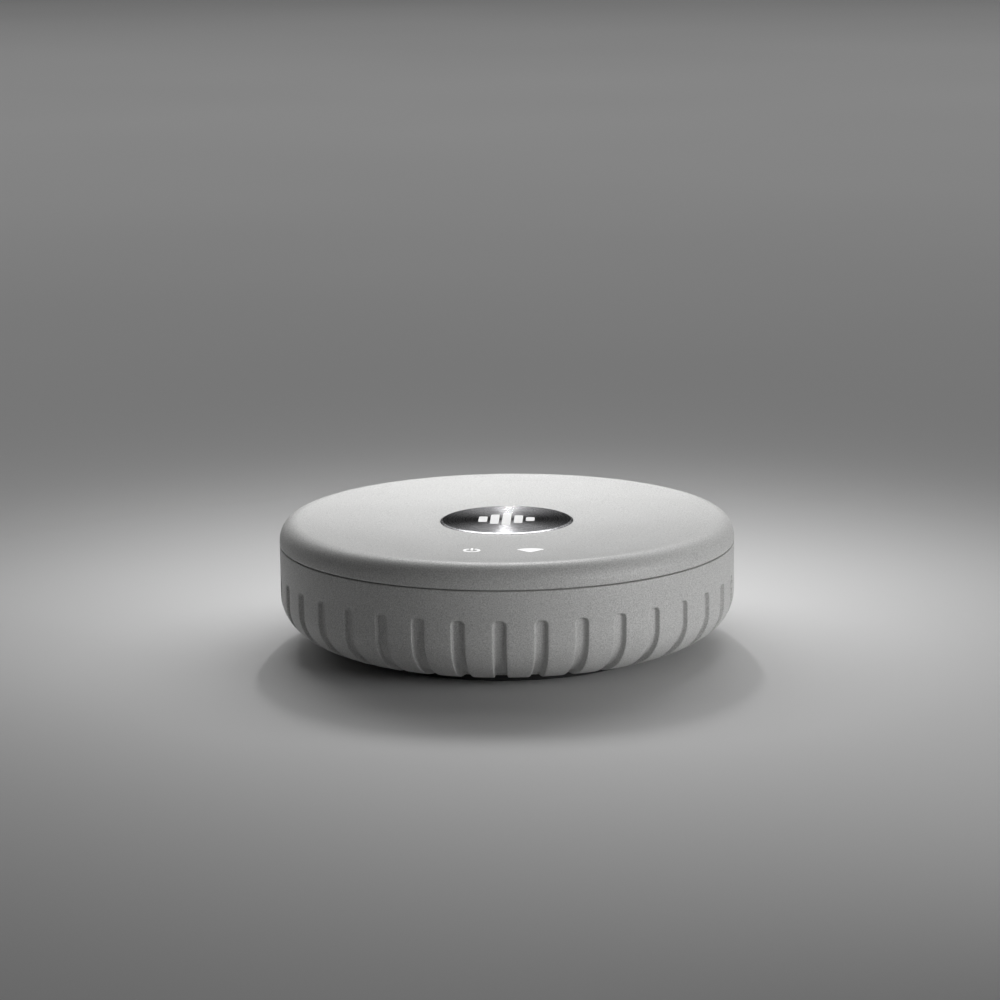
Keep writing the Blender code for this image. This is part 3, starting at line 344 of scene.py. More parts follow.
def rounded_box(name, low, high, radius, segments=3):
    """A box between two corners with all its edges rounded."""
    low, high = Vector(low), Vector(high)
    bm = bmesh.new()
    matrix = Matrix.Translation((low + high) / 2) @ Matrix.Diagonal((*(high - low), 1))
    bmesh.ops.create_cube(bm, size=1, matrix=matrix)
    bmesh.ops.bevel(
        bm, geom=bm.edges, offset=radius, offset_type="OFFSET", segments=segments, profile=0.5,
        affect="EDGES",
    )
    return add_object(name, bm)


def slab_outline(half_width, half_height, corner, centre=(0, 0)):
    """A rounded rectangle, anticlockwise."""
    x, y = centre
    corners = [(1, -1), (1, 1), (-1, 1), (-1, -1)]
    outline = [(x + sx * half_width, y + sy * half_height, corner) for sx, sy in corners]
    return soften(outline, segments=6)


def combine(target, operation, *others):
    """Unites, cuts or intersects target with other pieces, which are used up."""
    for other in others:
        step = target.modifiers.new(operation, "BOOLEAN")
        step.operation = operation
        step.object = other
        step.solver = "EXACT"
    graph = bpy.context.evaluated_depsgraph_get()
    mesh = bpy.data.meshes.new_from_object(target.evaluated_get(graph))
    target.modifiers.clear()
    target.data = mesh
    for other in others:
        bpy.data.objects.remove(other)
    smooth(mesh)
    return target


def finish_piece(piece, slot, stands_for=(), body="root", material=None):
    """Gives a piece its slot's material, or another, its body and the nodes it replaces."""
    piece.data.materials.clear()
    piece.data.materials.append(material or MATERIALS[slot])
    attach(piece, body)
    if stands_for:
        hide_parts(*stands_for)


# ---- Material helpers --------------------------------------------------------------------------
class Finish:
    """A material whose detail is built from object coordinates, so that it sits on the piece."""

    def __init__(self, name, roughness, metallic=0.0):
        self.material = bpy.data.materials.new(name)
        self.material.use_nodes = True
        self.nodes = self.material.node_tree.nodes
        self.links = self.material.node_tree.links
        self.shader = self.nodes["Principled BSDF"]
        self.shader.inputs["Roughness"].default_value = roughness
        self.shader.inputs["Metallic"].default_value = metallic
        self.place = self.nodes.new("ShaderNodeTexCoord").outputs["Object"]

    def set(self, **values):
        for socket, value in values.items():
            self.shader.inputs[socket.replace("_", " ")].default_value = value
        return self

    def noise(self, size, detail=2.0, roughness=0.5, stretch=None, source=None):
        """Noise whose features are about size metres across, over source or the piece."""
        texture = self.nodes.new("ShaderNodeTexNoise")
        texture.inputs["Scale"].default_value = 1 / size
        texture.inputs["Detail"].default_value = detail
        texture.inputs["Roughness"].default_value = roughness
        source = source or self.place
        if stretch:
            mapping = self.nodes.new("ShaderNodeMapping")
            mapping.inputs["Scale"].default_value = stretch
            self.links.new(source, mapping.inputs["Vector"])
            source = mapping.outputs["Vector"]
        self.links.new(source, texture.inputs["Vector"])
        return texture.outputs["Fac"]

    def math(self, operation, a, b=None):
        node = self.nodes.new("ShaderNodeMath")
        node.operation = operation
        for socket, value in zip(node.inputs, (a, b)):
            if isinstance(value, (int, float)):
                socket.default_value = value
            elif value is not None:
                self.links.new(value, socket)
        return node.outputs["Value"]

    def colours(self, value, dark, light, start=0.3, end=0.7):
        ramp = self.nodes.new("ShaderNodeValToRGB")
        first, last = ramp.color_ramp.elements
        first.position, last.position = start, end
        first.color, last.color = (*dark, 1), (*light, 1)
        self.links.new(value, ramp.inputs["Fac"])
        self.links.new(ramp.outputs["Color"], self.shader.inputs["Base Color"])
        return self

    def rough(self, value, low, high):
        """Roughness from low to high, over the middle of a noise's range."""
        node = self.nodes.new("ShaderNodeMapRange")
        node.inputs["From Min"].default_value = 0.3
        node.inputs["From Max"].default_value = 0.7
        node.inputs["To Min"].default_value = low
        node.inputs["To Max"].default_value = high
        self.links.new(value, node.inputs["Value"])
        self.links.new(node.outputs["Result"], self.shader.inputs["Roughness"])
        return self

    def bump(self, *layers):
        """Stacks (height, distance in metres) layers of bump."""
        normal = None
        for height, distance in layers:
            node = self.nodes.new("ShaderNodeBump")
            node.inputs["Distance"].default_value = distance
            node.inputs["Strength"].default_value = 1.0
            self.links.new(height, node.inputs["Height"])
            if normal:
                self.links.new(normal, node.inputs["Normal"])
            normal = node.outputs["Normal"]
        self.links.new(normal, self.shader.inputs["Normal"])
        return self


def shell_paint():
    """Light grey paint over a sanded grain: fine speckle, soft sheen, slight orange peel."""
    finish = Finish("shell_paint", 0.5)
    grain = finish.noise(0.28 * MM, detail=3, roughness=0.6)
    peel = finish.noise(1.1 * MM, detail=1)
    cloud = finish.noise(14 * MM, detail=2)
    finish.colours(grain, (0.44, 0.44, 0.435), (0.78, 0.78, 0.77), 0.32, 0.66)
    finish.rough(cloud, 0.42, 0.50)
    finish.bump((peel, 0.012 * MM), (grain, 0.03 * MM))
    return finish.set(Specular_IOR_Level=0.5).material


def moulded_plastic(name, dark, light, roughness):
    """Moulded plastic with a spark-eroded texture and slight tone changes."""
    finish = Finish(name, roughness)
    grain = finish.noise(0.35 * MM, detail=2)
    cloud = finish.noise(9 * MM)
    finish.colours(cloud, dark, light)
    finish.rough(grain, roughness - 0.06, roughness + 0.08)
    return finish.bump((grain, 0.012 * MM)).material


def rubber():
    """Black rubber with a dusty bloom."""
    finish = Finish("rubber", 0.8)
    grain = finish.noise(0.25 * MM, detail=4, roughness=0.7)
    dust = finish.noise(5 * MM, detail=4)
    finish.colours(dust, (0.022, 0.022, 0.023), (0.040, 0.040, 0.040))
    finish.rough(grain, 0.72, 0.9)
    return finish.bump((grain, 0.03 * MM)).material


def plated(name, dark, light, roughness):
    """Metal with a faint grain in its polish."""
    finish = Finish(name, roughness, metallic=1.0)
    grain = finish.noise(0.6 * MM, detail=3)
    smear = finish.noise(4 * MM)
    finish.colours(smear, dark, light)
    finish.rough(grain, roughness * 0.75, roughness * 1.3)
    return finish.bump((grain, 0.002 * MM)).material


def spun_metal(roughness):
    """Aluminium turned on a lathe: fine rings and a sheen drawn out across them."""
    finish = Finish("spun_aluminium", roughness, metallic=1.0)
    split = finish.nodes.new("ShaderNodeSeparateXYZ")
    finish.links.new(finish.place, split.inputs["Vector"])
    x, y = split.outputs["X"], split.outputs["Y"]
    radius = finish.math(
        "SQRT", finish.math("ADD", finish.math("MULTIPLY", x, x), finish.math("MULTIPLY", y, y))
    )
    along = finish.nodes.new("ShaderNodeCombineXYZ")
    finish.links.new(radius, along.inputs["X"])
    rings = finish.noise(0.12 * MM, detail=3, source=along.outputs["Vector"])
    tangent = finish.nodes.new("ShaderNodeTangent")
    tangent.direction_type = "RADIAL"
    tangent.axis = "Z"
    finish.links.new(tangent.outputs["Tangent"], finish.shader.inputs["Tangent"])
    finish.colours(rings, (0.28, 0.28, 0.29), (0.42, 0.42, 0.43))
    finish.rough(rings, roughness - 0.05, roughness + 0.08)
    finish.bump((rings, 0.0015 * MM))
    return finish.set(Anisotropic=0.9, Anisotropic_Rotation=0.25).material


def circuit_board():
    """Green solder mask with the weave of the glass cloth just showing."""
    finish = Finish("circuit_board", 0.35)
    weave = finish.noise(0.7 * MM, detail=1, stretch=(1, 6, 1))
    tracks = finish.noise(3 * MM, detail=0)
    finish.colours(tracks, (0.008, 0.075, 0.035), (0.014, 0.12, 0.055), 0.47, 0.53)
    finish.rough(weave, 0.28, 0.42)
    return finish.bump((weave, 0.006 * MM)).material


def lit_symbol():
    """White translucent plastic with light behind it."""
    finish = Finish("lit_symbol", 0.4)
    haze = finish.noise(0.8 * MM)
    finish.colours(haze, (0.90, 0.91, 0.91), (0.96, 0.96, 0.96))
    finish.rough(haze, 0.35, 0.45)
    return finish.set(Emission_Color=(1, 1, 1, 1), Emission_Strength=0.55).material


def clear_plastic():
    finish = Finish("clear_plastic", 0.12)
    haze = finish.noise(1.5 * MM)
    finish.colours(haze, (0.86, 0.88, 0.88), (0.95, 0.96, 0.96))
    finish.rough(haze, 0.08, 0.18)
    return finish.set(Transmission_Weight=0.8, IOR=1.49).material


def white_ink():
    """Screen-printed ink: nearly flat, with a faint stipple."""
    finish = Finish("white_ink", 0.5)
    stipple = finish.noise(0.2 * MM, detail=2)
    finish.colours(stipple, (0.86, 0.86, 0.86), (0.93, 0.93, 0.93))
    finish.rough(stipple, 0.42, 0.55)
    return finish.bump((stipple, 0.003 * MM)).material


# (dark, light, roughness) of each plastic
PLASTICS = {
    "black_plastic": ((0.013, 0.013, 0.014), (0.022, 0.022, 0.023), 0.42),
    "dark_plastic": ((0.045, 0.045, 0.05), (0.06, 0.06, 0.066), 0.36),
    "white_plastic": ((0.74, 0.74, 0.72), (0.80, 0.80, 0.78), 0.32),
    "red_plastic": ((0.42, 0.012, 0.012), (0.50, 0.018, 0.016), 0.32),
    "cable_jacket": ((0.02, 0.02, 0.02), (0.03, 0.03, 0.03), 0.5),
    "chip_black": ((0.018, 0.018, 0.02), (0.03, 0.03, 0.032), 0.5),
    "adhesive": ((0.42, 0.42, 0.40), (0.52, 0.52, 0.49), 0.65),
}
METALS = {
    "nickel_plate": ((0.60, 0.58, 0.53), (0.72, 0.70, 0.65), 0.16),
    "steel": ((0.42, 0.42, 0.43), (0.55, 0.55, 0.56), 0.32),
    "tin_plate": ((0.62, 0.62, 0.60), (0.74, 0.74, 0.72), 0.3),
}
MATERIALS = {  # by the record's slot names
    "shell_paint": shell_paint(),
    "spun_aluminium": spun_metal(0.24),
    "rubber": rubber(),
    "circuit_board": circuit_board(),
    "symbol_light": lit_symbol(),
    "clear_plastic": clear_plastic(),
    **{name: moulded_plastic(name, *look) for name, look in PLASTICS.items()},
    **{name: plated(name, *look) for name, look in METALS.items()},
}
POLISHED = plated("polished_chamfer", (0.30, 0.30, 0.31), (0.40, 0.40, 0.41), 0.26)
WHITE_INK = white_ink()


def dress_cad_nodes():
    """Gives every node that stays as it is the material of its slot."""
    for part in frame["record"]["subparts"]:
        node = frame["nodes"][part["node"]]
        node.data.materials.clear()
        node.data.materials.append(MATERIALS[part["material_slot"]])


# ---- The housing's outline ---------------------------------------------------------------------
def curl_point(inset, t):
    """A point of the curled-under outline, moved inwards: t runs from 0, the wall, to 1."""
    angle = math.pi / 2 * t
    across = max(math.cos(angle), 0.0) ** (2 / CURL_POWER)
    down = math.sin(angle) ** (2 / CURL_POWER)
    height = CURL_TOP_Z - UNDERSIDE_Z - inset
    return HOLE_R + (CURL_WIDTH - inset) * across, CURL_TOP_Z - height * down


class Outline:
    """The outer outline by its length from the flutes' tops: place, and depth into the wall."""

    def __init__(self):
        fine = [(BODY_RADIUS, HOUSING_TOP_Z), (BODY_RADIUS, FLUTE_TOP_Z)]
        fine += [curl_point(0, i / CURL_STEPS) for i in range(CURL_STEPS + 1)]
        self.points = [Vector(p) for p in fine]
        self.lengths = [FLUTE_TOP_Z - HOUSING_TOP_Z]
        for a, b in zip(self.points, self.points[1:]):
            self.lengths.append(self.lengths[-1] + (b - a).length)

    def find(self, length):
        """The stretch that holds a length, and how far along the stretch it is."""
        i = bisect.bisect_right(self.lengths, length) - 1
        i = min(max(i, 0), len(self.lengths) - 2)
        span = self.lengths[i + 1] - self.lengths[i]
        return i, (length - self.lengths[i]) / span

    def at(self, length, depth=0.0):
        """(radius, z) at a length along the outline and a depth square to it."""
        i, part = self.find(length)
        a, b = self.points[i], self.points[i + 1]
        before = self.points[max(i - 1, 0)]
        after = self.points[min(i + 2, len(self.points) - 1)]
        tangent = (b - before).normalized().lerp((after - a).normalized(), part).normalized()
        if i < 2:
            tangent = Vector((0, -1))
        inward = Vector((tangent.y, -tangent.x))
        return a.lerp(b, part) + inward * depth

    def length_at_radius(self, radius):
        """Where the curl comes in to a radius."""
        for i in range(len(self.points) - 1, 0, -1):
            if self.points[i - 1].x >= radius:
                a, b = self.points[i - 1], self.points[i]
                part = (radius - a.x) / (b.x - a.x)
                return self.lengths[i - 1] + part * (self.lengths[i] - self.lengths[i - 1])
        return 0.0

    def radius_at_height(self, z):
        """How wide the outline is at a height."""
        for a, b in zip(self.points, self.points[1:]):
            if b.y <= z:
                part = (z - a.y) / (b.y - a.y) if a.y != b.y else 0
                return a.x + (b.x - a.x) * part
        return self.points[-1].x


OUTLINE = Outline()
FLUTE_LENGTH = OUTLINE.length_at_radius(FLUTE_END_R)


def flute_steps():
    """(distance in from the flute's edge, depth) across its side wall, from surface to floor."""
    steps = []
    sine, cosine = math.sin(WALL_ANGLE), math.cos(WALL_ANGLE)
    drop = FLUTE_DEPTH - (UPPER_FILLET + LOWER_FILLET) * (1 - cosine)
    across = (UPPER_FILLET + LOWER_FILLET) * sine + drop / math.tan(WALL_ANGLE)
    for k in range(FILLET_STEPS + 1):
        angle = WALL_ANGLE * k / FILLET_STEPS
        steps.append((UPPER_FILLET * math.sin(angle), UPPER_FILLET * (1 - math.cos(angle))))
    for k in range(FILLET_STEPS + 1):
        angle = WALL_ANGLE * (1 - k / FILLET_STEPS)
        steps.append(
            (
                across - LOWER_FILLET * math.sin(angle),
                FLUTE_DEPTH - LOWER_FILLET * (1 - math.cos(angle)),
            )
        )
    return steps


def leg_lengths():
    """Lengths down a flute's straight sides, from its end on the underside up to its corners."""
    bottom, top = FLUTE_LENGTH, FLUTE_CORNER
    return [bottom + (top - bottom) * i / LEG_STEPS for i in range(LEG_STEPS + 1)]


def flute_line(inward):
    """(offset from the flute's middle, length) points of half the flute's outline, from the
    underside up its side, round the corner and along the top to the middle."""
    half = FLUTE_HALF_WIDTH - inward
    corner = FLUTE_CORNER - inward
    centre = FLUTE_HALF_WIDTH - FLUTE_CORNER
    line = [(half, s) for s in leg_lengths()]
    for k in range(1, CORNER_STEPS + 1):
        angle = math.pi / 2 * k / CORNER_STEPS
        line.append(
            (centre + corner * math.cos(angle), FLUTE_CORNER - corner * math.sin(angle))
        )
    for k in range(1, FLAT_STEPS + 1):
        line.append((centre * (1 - k / FLAT_STEPS), inward))
    return line


def sector_line():
    """(angle, length) points of half the sector's edge, matching flute_line point by point."""
    half = math.pi / FLUTE_COUNT
    line = [(half, s) for s in leg_lengths()]
    side = CORNER_STEPS // 2
    for k in range(1, side + 1):
        line.append((half, FLUTE_CORNER + (SECTOR_TOP - FLUTE_CORNER) * k / side))
    rest = CORNER_STEPS - side + FLAT_STEPS
    for k in range(1, rest + 1):
        line.append((half * (1 - k / rest), SECTOR_TOP))
    return line


class Shell:
    """Gathers the housing's points and faces, sector by sector."""

    FINENESS = 2e6  # points that agree to this many parts of a metre are one

    def __init__(self):
        self.points = []
        self.faces = []
        self.known = {}

    def point(self, radius, angle, z):
        """A point at an angle from the front, shared with any that was made there before."""
        place = (radius * math.sin(angle), -radius * math.cos(angle), z)
        key = tuple(round(c * self.FINENESS) for c in place)
        if key not in self.known:
            self.known[key] = len(self.points)
            self.points.append(place)
        return self.known[key]

    def face(self, *corners):
        corners = list(dict.fromkeys(corners))
        if len(corners) > 2:
            self.faces.append(corners)

    def strip(self, first, second):
        for a, b, c, d in zip(first, first[1:], second[1:], second):
            self.face(a, b, c, d)


def fade(length):
    """Flutes run out to nothing on the underside."""
    part = min(max((FLUTE_LENGTH - length) / FADE_LENGTH, 0), 1)
    return part * part * (3 - 2 * part)


def fluted_sector(shell, middle):
    """One flute and the land round it. Returns the angles of its top and bottom edges."""
    edge = sector_line()
    rings = []
    outer = flute_line(0)
    for part in LAND_PARTS:
        ring = []
        for (angle, s), (x, t) in zip(edge, outer):
            radius = OUTLINE.at(t).x
            ring.append((angle + (math.asin(x / radius) - angle) * part, s + (t - s) * part, 0))
        rings.append(ring)
    for inward, depth in flute_steps():
        ring = []
        for x, s in flute_line(inward):
            ring.append((math.asin(x / OUTLINE.at(s).x), s, depth * fade(s)))
        rings.append(ring)
    sides = []
    for sign in (-1, 1):
        side = []
        for ring in rings:
            line = []
            for angle, s, depth in ring:
                radius, z = OUTLINE.at(s, depth)
                line.append(shell.point(radius, middle + sign * angle, z))
            side.append(line)
        for a, b in zip(side, side[1:]):
            shell.strip(a, b)
        sides.append(side)
    shell.strip(sides[0][-1], sides[1][-1])
    below = [middle - ring[0][0] for ring in rings]
    below += [middle + ring[0][0] for ring in reversed(rings)]
    above = [a for a, s in edge if s == SECTOR_TOP]
    above = [middle - a for a in above] + [middle + a for a in reversed(above[:-1])]
    return above, below


def plain_sector(shell, middle):
    """A sector with no flute, whose side edges match its neighbours'."""
    half = math.pi / FLUTE_COUNT
    side = [s for a, s in sector_line() if a == half]
    count = PLAIN_COLUMNS
    angles = [middle - half + 2 * half * k / count for k in range(count + 1)]
    lines = []
    for s in side:
        radius, z = OUTLINE.at(s)
        lines.append([shell.point(radius, a, z) for a in angles])
    for a, b in zip(lines, lines[1:]):
        shell.strip(a, b)
    return angles, angles


def add_rings(shell, angles, profile):
    """Faces along a profile of (radius, z) points, at a sector's angles."""
    lines = [[shell.point(r, a, z) for a in angles] for r, z in profile]
    for a, b in zip(lines, lines[1:]):
        shell.strip(a, b)
    return lines[-1]


def housing_shell():
    """The fluted bowl as one closed skin: outside, underside lip, flange and inner wall."""
    shell = Shell()
    edge, lip = TOP_EDGE_FILLET, LIP_FILLET
    top = HOUSING_TOP_Z
    band = [(BODY_RADIUS, OUTLINE.at(SECTOR_TOP).y)]
    band += [(BODY_RADIUS, OUTLINE.at(SECTOR_TOP).y + PLAIN_BAND)]
    band += arc_points((BODY_RADIUS - edge, top - edge), edge, 0, 90, 5)
    inner_r = BODY_RADIUS - WALL
    inner = [curl_point(WALL, i / 12) for i in range(11)]
    inner = [p for p in inner if p[1] > FLANGE["high"]]
    inside = band + [(inner_r, top)] + inner
    inside += [
        (FLANGE["outer_r"], FLANGE["high"]),
        (FLANGE["inner_r"], FLANGE["high"]),
        (FLANGE["inner_r"], FLANGE["low"]),
    ]
    ends = [(FLUTE_END_R, OUTLINE.at(FLUTE_LENGTH).y), (HOLE_R + lip * 2.5, UNDERSIDE_Z)]
    under = ends + arc_points((HOLE_R + lip, UNDERSIDE_Z + lip), lip, 270, 180, 4)
    under += [(HOLE_R, FLANGE["low"])]
    for i in range(FLUTE_COUNT):
        middle = math.tau * i / FLUTE_COUNT
        if abs(i - FLUTE_COUNT // 2) > FLUTES_MISSING_EACH_SIDE:
            above, below = fluted_sector(shell, middle)
        else:
            above, below = plain_sector(shell, middle)
        last_in = add_rings(shell, above, inside)
        last_under = add_rings(shell, below, under)
        shell.face(*last_in, *reversed(last_under))
    return from_faces("housing_shell", shell.points, shell.faces)


# ---- The socket bay ----------------------------------------------------------------------------
def bay_outline():
    """The bay's rounded-rectangle outline as (x, z, outward x, outward z), finely divided."""
    half_height = (BAY_Z[1] - BAY_Z[0]) / 2
    centre_z = (BAY_Z[0] + BAY_Z[1]) / 2
    straight_x, straight_z = BAY_HALF_WIDTH - BAY_CORNER, half_height - BAY_CORNER
    corners = ((1, -1, -90), (1, 1, 0), (-1, 1, 90), (-1, -1, 180))
    points = []
    for i, (sx, sz, start) in enumerate(corners):
        for k in range(BAY_CORNER_STEPS + 1):
            angle = math.radians(start + 90 * k / BAY_CORNER_STEPS)
            nx, nz = math.cos(angle), math.sin(angle)
            x = sx * straight_x + BAY_CORNER * nx
            z = centre_z + sz * straight_z + BAY_CORNER * nz
            points.append((x, z, nx, nz))
        upcoming = corners[(i + 1) % 4]
        nx, nz = points[-1][2:]
        end_x = upcoming[0] * straight_x + BAY_CORNER * nx
        end_z = centre_z + upcoming[1] * straight_z + BAY_CORNER * nz
        x, z = points[-1][:2]
        count = BAY_END_STEPS if abs(end_x - x) < MM else BAY_SIDE_STEPS
        for k in range(1, count):
            points.append((x + (end_x - x) * k / count, z + (end_z - z) * k / count, nx, nz))
    return points


def surface_y(x, z):
    """Where the back of the outer wall is, behind a place in the bay's outline."""
    return math.sqrt(OUTLINE.radius_at_height(z) ** 2 - x**2)


def bay_cutter():
    """A plug of the bay's shape that flares where it meets the outer wall, to round the rim."""
    fillet, turn = BAY_FILLET, BAY_FILLET_TURN
    steps = []
    for k in range(FILLET_STEPS + 1):
        angle = turn * k / FILLET_STEPS
        steps.append((fillet * (1 - math.cos(angle)), fillet * (1 - math.sin(angle))))
    across, up = steps[-1]
    steps.append((across + BAY_FLARE * math.sin(turn), up - BAY_FLARE * math.cos(turn)))
    outline = bay_outline()
    rings = [[(x, FACE_Y, z) for x, z, _, _ in outline]]
    for offset, depth in steps:
        ring = []
        for x, z, nx, nz in outline:
            fx, fz = x + nx * offset, z + nz * offset
            ring.append((fx, surface_y(fx, fz) - depth, fz))
        rings.append(ring)
    rings.append([(x, BODY_RADIUS + 5 * CUT_CLEAR, z) for x, _, z in rings[-1]])
    points = [p for ring in rings for p in ring]
    count = len(outline)
    faces = [list(range(count)), list(range(len(points) - count, len(points)))]
    for j in range(len(rings) - 1):
        for k in range(count):
            after = (k + 1) % count
            faces.append(
                [j * count + k, j * count + after, (j + 1) * count + after, (j + 1) * count + k]
            )
    return from_faces("bay_cutter", points, faces)


def inset_outline(name, inset, rows):
    """The housing's outer shape, without flutes, moved inwards: what a piece inside is cut to."""
    outline = [(0, HOUSING_TOP_Z, 0), (BODY_RADIUS - inset, HOUSING_TOP_Z, 0)]
    outline += [(*curl_point(inset, i / rows), 0) for i in range(rows)]
    outline += [(HOLE_R, UNDERSIDE_Z + inset, 0), (0, UNDERSIDE_Z + inset, 0)]
    return turned(name, outline, 144)


def bay_block():
    """The bay's floor, ceiling and cheeks as a block kept inside the outer wall."""
    half = BAY_HALF_WIDTH + BAY_WALL
    low = (-half, FACE_Y + GAP, BAY_Z[0] - BAY_WALL)
    high = (half, BODY_RADIUS, BAY_Z[1] + BAY_TOP_WALL)
    block = rounded_box("bay_block", low, high, 0.3 * MM)
    return combine(block, "INTERSECT", inset_outline("bay_limit", BAY_BLOCK_INSET, 12))


def make_housing():
    housing = housing_shell()
    combine(housing, "UNION", bay_block())
    combine(housing, "DIFFERENCE", bay_cutter())
    housing.name = "lower_housing_shell"
    finish_piece(housing, "shell_paint", ["lower_housing"])


# ---- Lid ---------------------------------------------------------------------------------------
def dish_z(radius):
    """The height of the lid's dished top."""
    return DISH_EDGE_Z + DISH_RISE * (radius**2 - BADGE_R**2)


def power_outlines(grow):
    """An open ring and the bar in its gap."""
    x, y = centre = (POWER_X, SYMBOL_Y)
    stroke = POWER_STROKE / 2 + grow
    gap = POWER_GAP_HALF_ANGLE - math.degrees(grow / POWER_RING_R)
    ring = arc_points(centre, POWER_RING_R + stroke, 90 + gap, 450 - gap, 48)
    ring += arc_points(centre, POWER_RING_R - stroke, 450 - gap, 90 + gap, 48)
    low, high = y + POWER_BAR_Y[0] - grow, y + POWER_BAR_Y[1] + grow
    half = POWER_BAR_WIDTH / 2 + grow
    bar = slab_outline(half, (high - low) / 2, POWER_BAR_CORNER, (x, (low + high) / 2))
    return [ring, bar]


def wireless_outlines(grow):
    """A fan with a rounded tip that opens towards the back."""
    half, tip_r = WIRELESS_HALF_ANGLE, WIRELESS_TIP_R + grow
    lean = math.sin(math.radians(half))
    tip = (WIRELESS_X, SYMBOL_Y + WIRELESS_TIP_Y - grow / lean)
    fan = arc_points(tip, WIRELESS_R + grow / lean + grow, 90 - half, 90 + half, 24)
    fan += arc_points((tip[0], tip[1] + tip_r / lean), tip_r, 180 + half, 360 - half, 12)
    return [fan]


def lid_outline():
    """(radius, z, corner) points from the recess's middle, over the top and back underneath."""
    wall = LID_WALL
    outline = [(0, RECESS_Z, 0), (RECESS_R, RECESS_Z, 0.1 * MM)]
    outline += [(RECESS_R, dish_z(RECESS_R), 0.14 * MM)]
    for k in range(1, DISH_ROWS):
        radius = RECESS_R + (RIM_R - RECESS_R) * k / DISH_ROWS
        outline.append((radius, dish_z(radius), 0))
    for k in range(SHOULDER_ROWS + 1):
        angle = math.pi / 2 * k / SHOULDER_ROWS
        across = math.sin(angle) ** (2 / SHOULDER_POWER)
        up = max(math.cos(angle), 0.0) ** (2 / SHOULDER_POWER)
        base = RIM_Z - SHOULDER_HEIGHT
        outline.append((RIM_R + SHOULDER_WIDTH * across, base + SHOULDER_HEIGHT * up, 0))
    outline += [
        (BODY_RADIUS, LID_EDGE_Z, 0.3 * MM),
        (SKIRT_R[1], LID_EDGE_Z, 0),
        (SKIRT_R[1], SKIRT_Z, 0.2 * MM),
        (SKIRT_R[0], SKIRT_Z, 0.2 * MM),
        (SKIRT_R[0], SKIRT_TOP_Z, 0),
        (CEILING_R[1], RIM_Z - wall, 0),
        (CEILING_R[0], dish_z(CEILING_R[0]) - wall, 0),
        (RECESS_R + RECESS_WALL, dish_z(RECESS_R) - wall, 0),
        (RECESS_R + RECESS_WALL, RECESS_Z - wall, 0),
        (0, RECESS_Z - wall, 0),
    ]
    return outline


def hanging_post(name, radius, bore, low, hole_top, fillet, steps):
    """A post under the lid with a blind screw hole up from its foot."""
    outline = [(radius, POST_TOP_Z, 0), (radius, low, fillet), (bore, low, fillet)]
    outline += [(bore, hole_top, 0), (PINHOLE_R, hole_top + 0.1 * MM, 0)]
    outline += [(PINHOLE_R, POST_TOP_Z, 0)]
    return turned(name, outline, steps)


def make_lid():
    lid = turned("top_cover_shell", lid_outline(), 288)
    posts = []
    for k, degrees in enumerate(COLUMN_ANGLES):
        sizes = (COLUMN_R, SCREW_BORE_R, LID_LOW.z, COLUMN_HOLE_Z, 0.2 * MM, 40)
        posts.append(moved(hanging_post(f"post_{k}", *sizes), around(COLUMN_AT_R, degrees)))
    boss_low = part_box("touch_board")[1].z + GAP
    for k, x in enumerate(TOUCH_SCREW_X):
        sizes = (TOUCH_BOSS_R, TOUCH_BORE_R, boss_low, TOUCH_HOLE_Z, 0.1 * MM, 32)
        place = Matrix.Translation((x, SYMBOL_Y, 0))
        posts.append(moved(hanging_post(f"boss_{k}", *sizes), place))
    combine(lid, "UNION", *posts)
    openings = power_outlines(SYMBOL_CLEARANCE) + wireless_outlines(SYMBOL_CLEARANCE)
    cutters = [prism(f"opening_{k}", o, *OPENING_Z) for k, o in enumerate(openings)]
    combine(lid, "DIFFERENCE", *cutters)
    finish_piece(lid, "shell_paint", ["top_cover"])


def make_symbols():
    """Light guides under the lid whose raised symbols end flush with its surface."""
    for name, outlines in (("power", power_outlines(0)), ("wireless", wireless_outlines(0))):
        node = f"{name}_light_guide"
        low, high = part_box(node)
        top, radius = GUIDE_TOP_Z, (high.x - low.x) / 2
        disc = [(0, top, 0), (radius, top, 0.2 * MM), (radius, low.z, 0.2 * MM), (0, low.z, 0)]
        guide = turned(f"{name}_symbol", disc, 64)
        moved(guide, Matrix.Translation(((low.x + high.x) / 2, SYMBOL_Y, 0)))
        raised = [symbol_prism(f"{name}_raised_{k}", o) for k, o in enumerate(outlines)]
        combine(guide, "UNION", *raised)
        finish_piece(guide, "symbol_light", [node])


def symbol_prism(name, outline):
    """A raised symbol whose top follows the dish, a hair above its surface."""
    made = prism(name, outline, SYMBOL_FOOT_Z, RIM_Z)
    for vertex in made.data.vertices:
        if vertex.co.z > SYMBOL_FOOT_Z + MM:
            vertex.co.z = dish_z(math.hypot(vertex.co.x, vertex.co.y)) + SYMBOL_PROUD
    return made


# ---- Badge -------------------------------------------------------------------------------------
def make_badge():
    """A turned disc with a polished chamfer round its face."""
    top, low, edge = BADGE_HIGH.z, BADGE_LOW.z, 0.06 * MM
    across, down = 0.6 * MM, 0.25 * MM  # the chamfer
    inner_r = BADGE_R - across
    rows = [(inner_r * k / 12, top, 0) for k in range(1, 12)]
    disc = turned(
        "badge_face",
        [(0, top, 0), *rows, (inner_r, top, 0.02 * MM), (BADGE_R, top - down, edge),
         (BADGE_R, low, edge), (0, low, 0)],
        256, crease=12,
    )
    finish_piece(disc, "spun_aluminium", ["badge_disc"])
    disc.data.materials.append(POLISHED)
    for face in disc.data.polygons:
        if math.hypot(face.center.x, face.center.y) > inner_r:
            face.material_index = 1


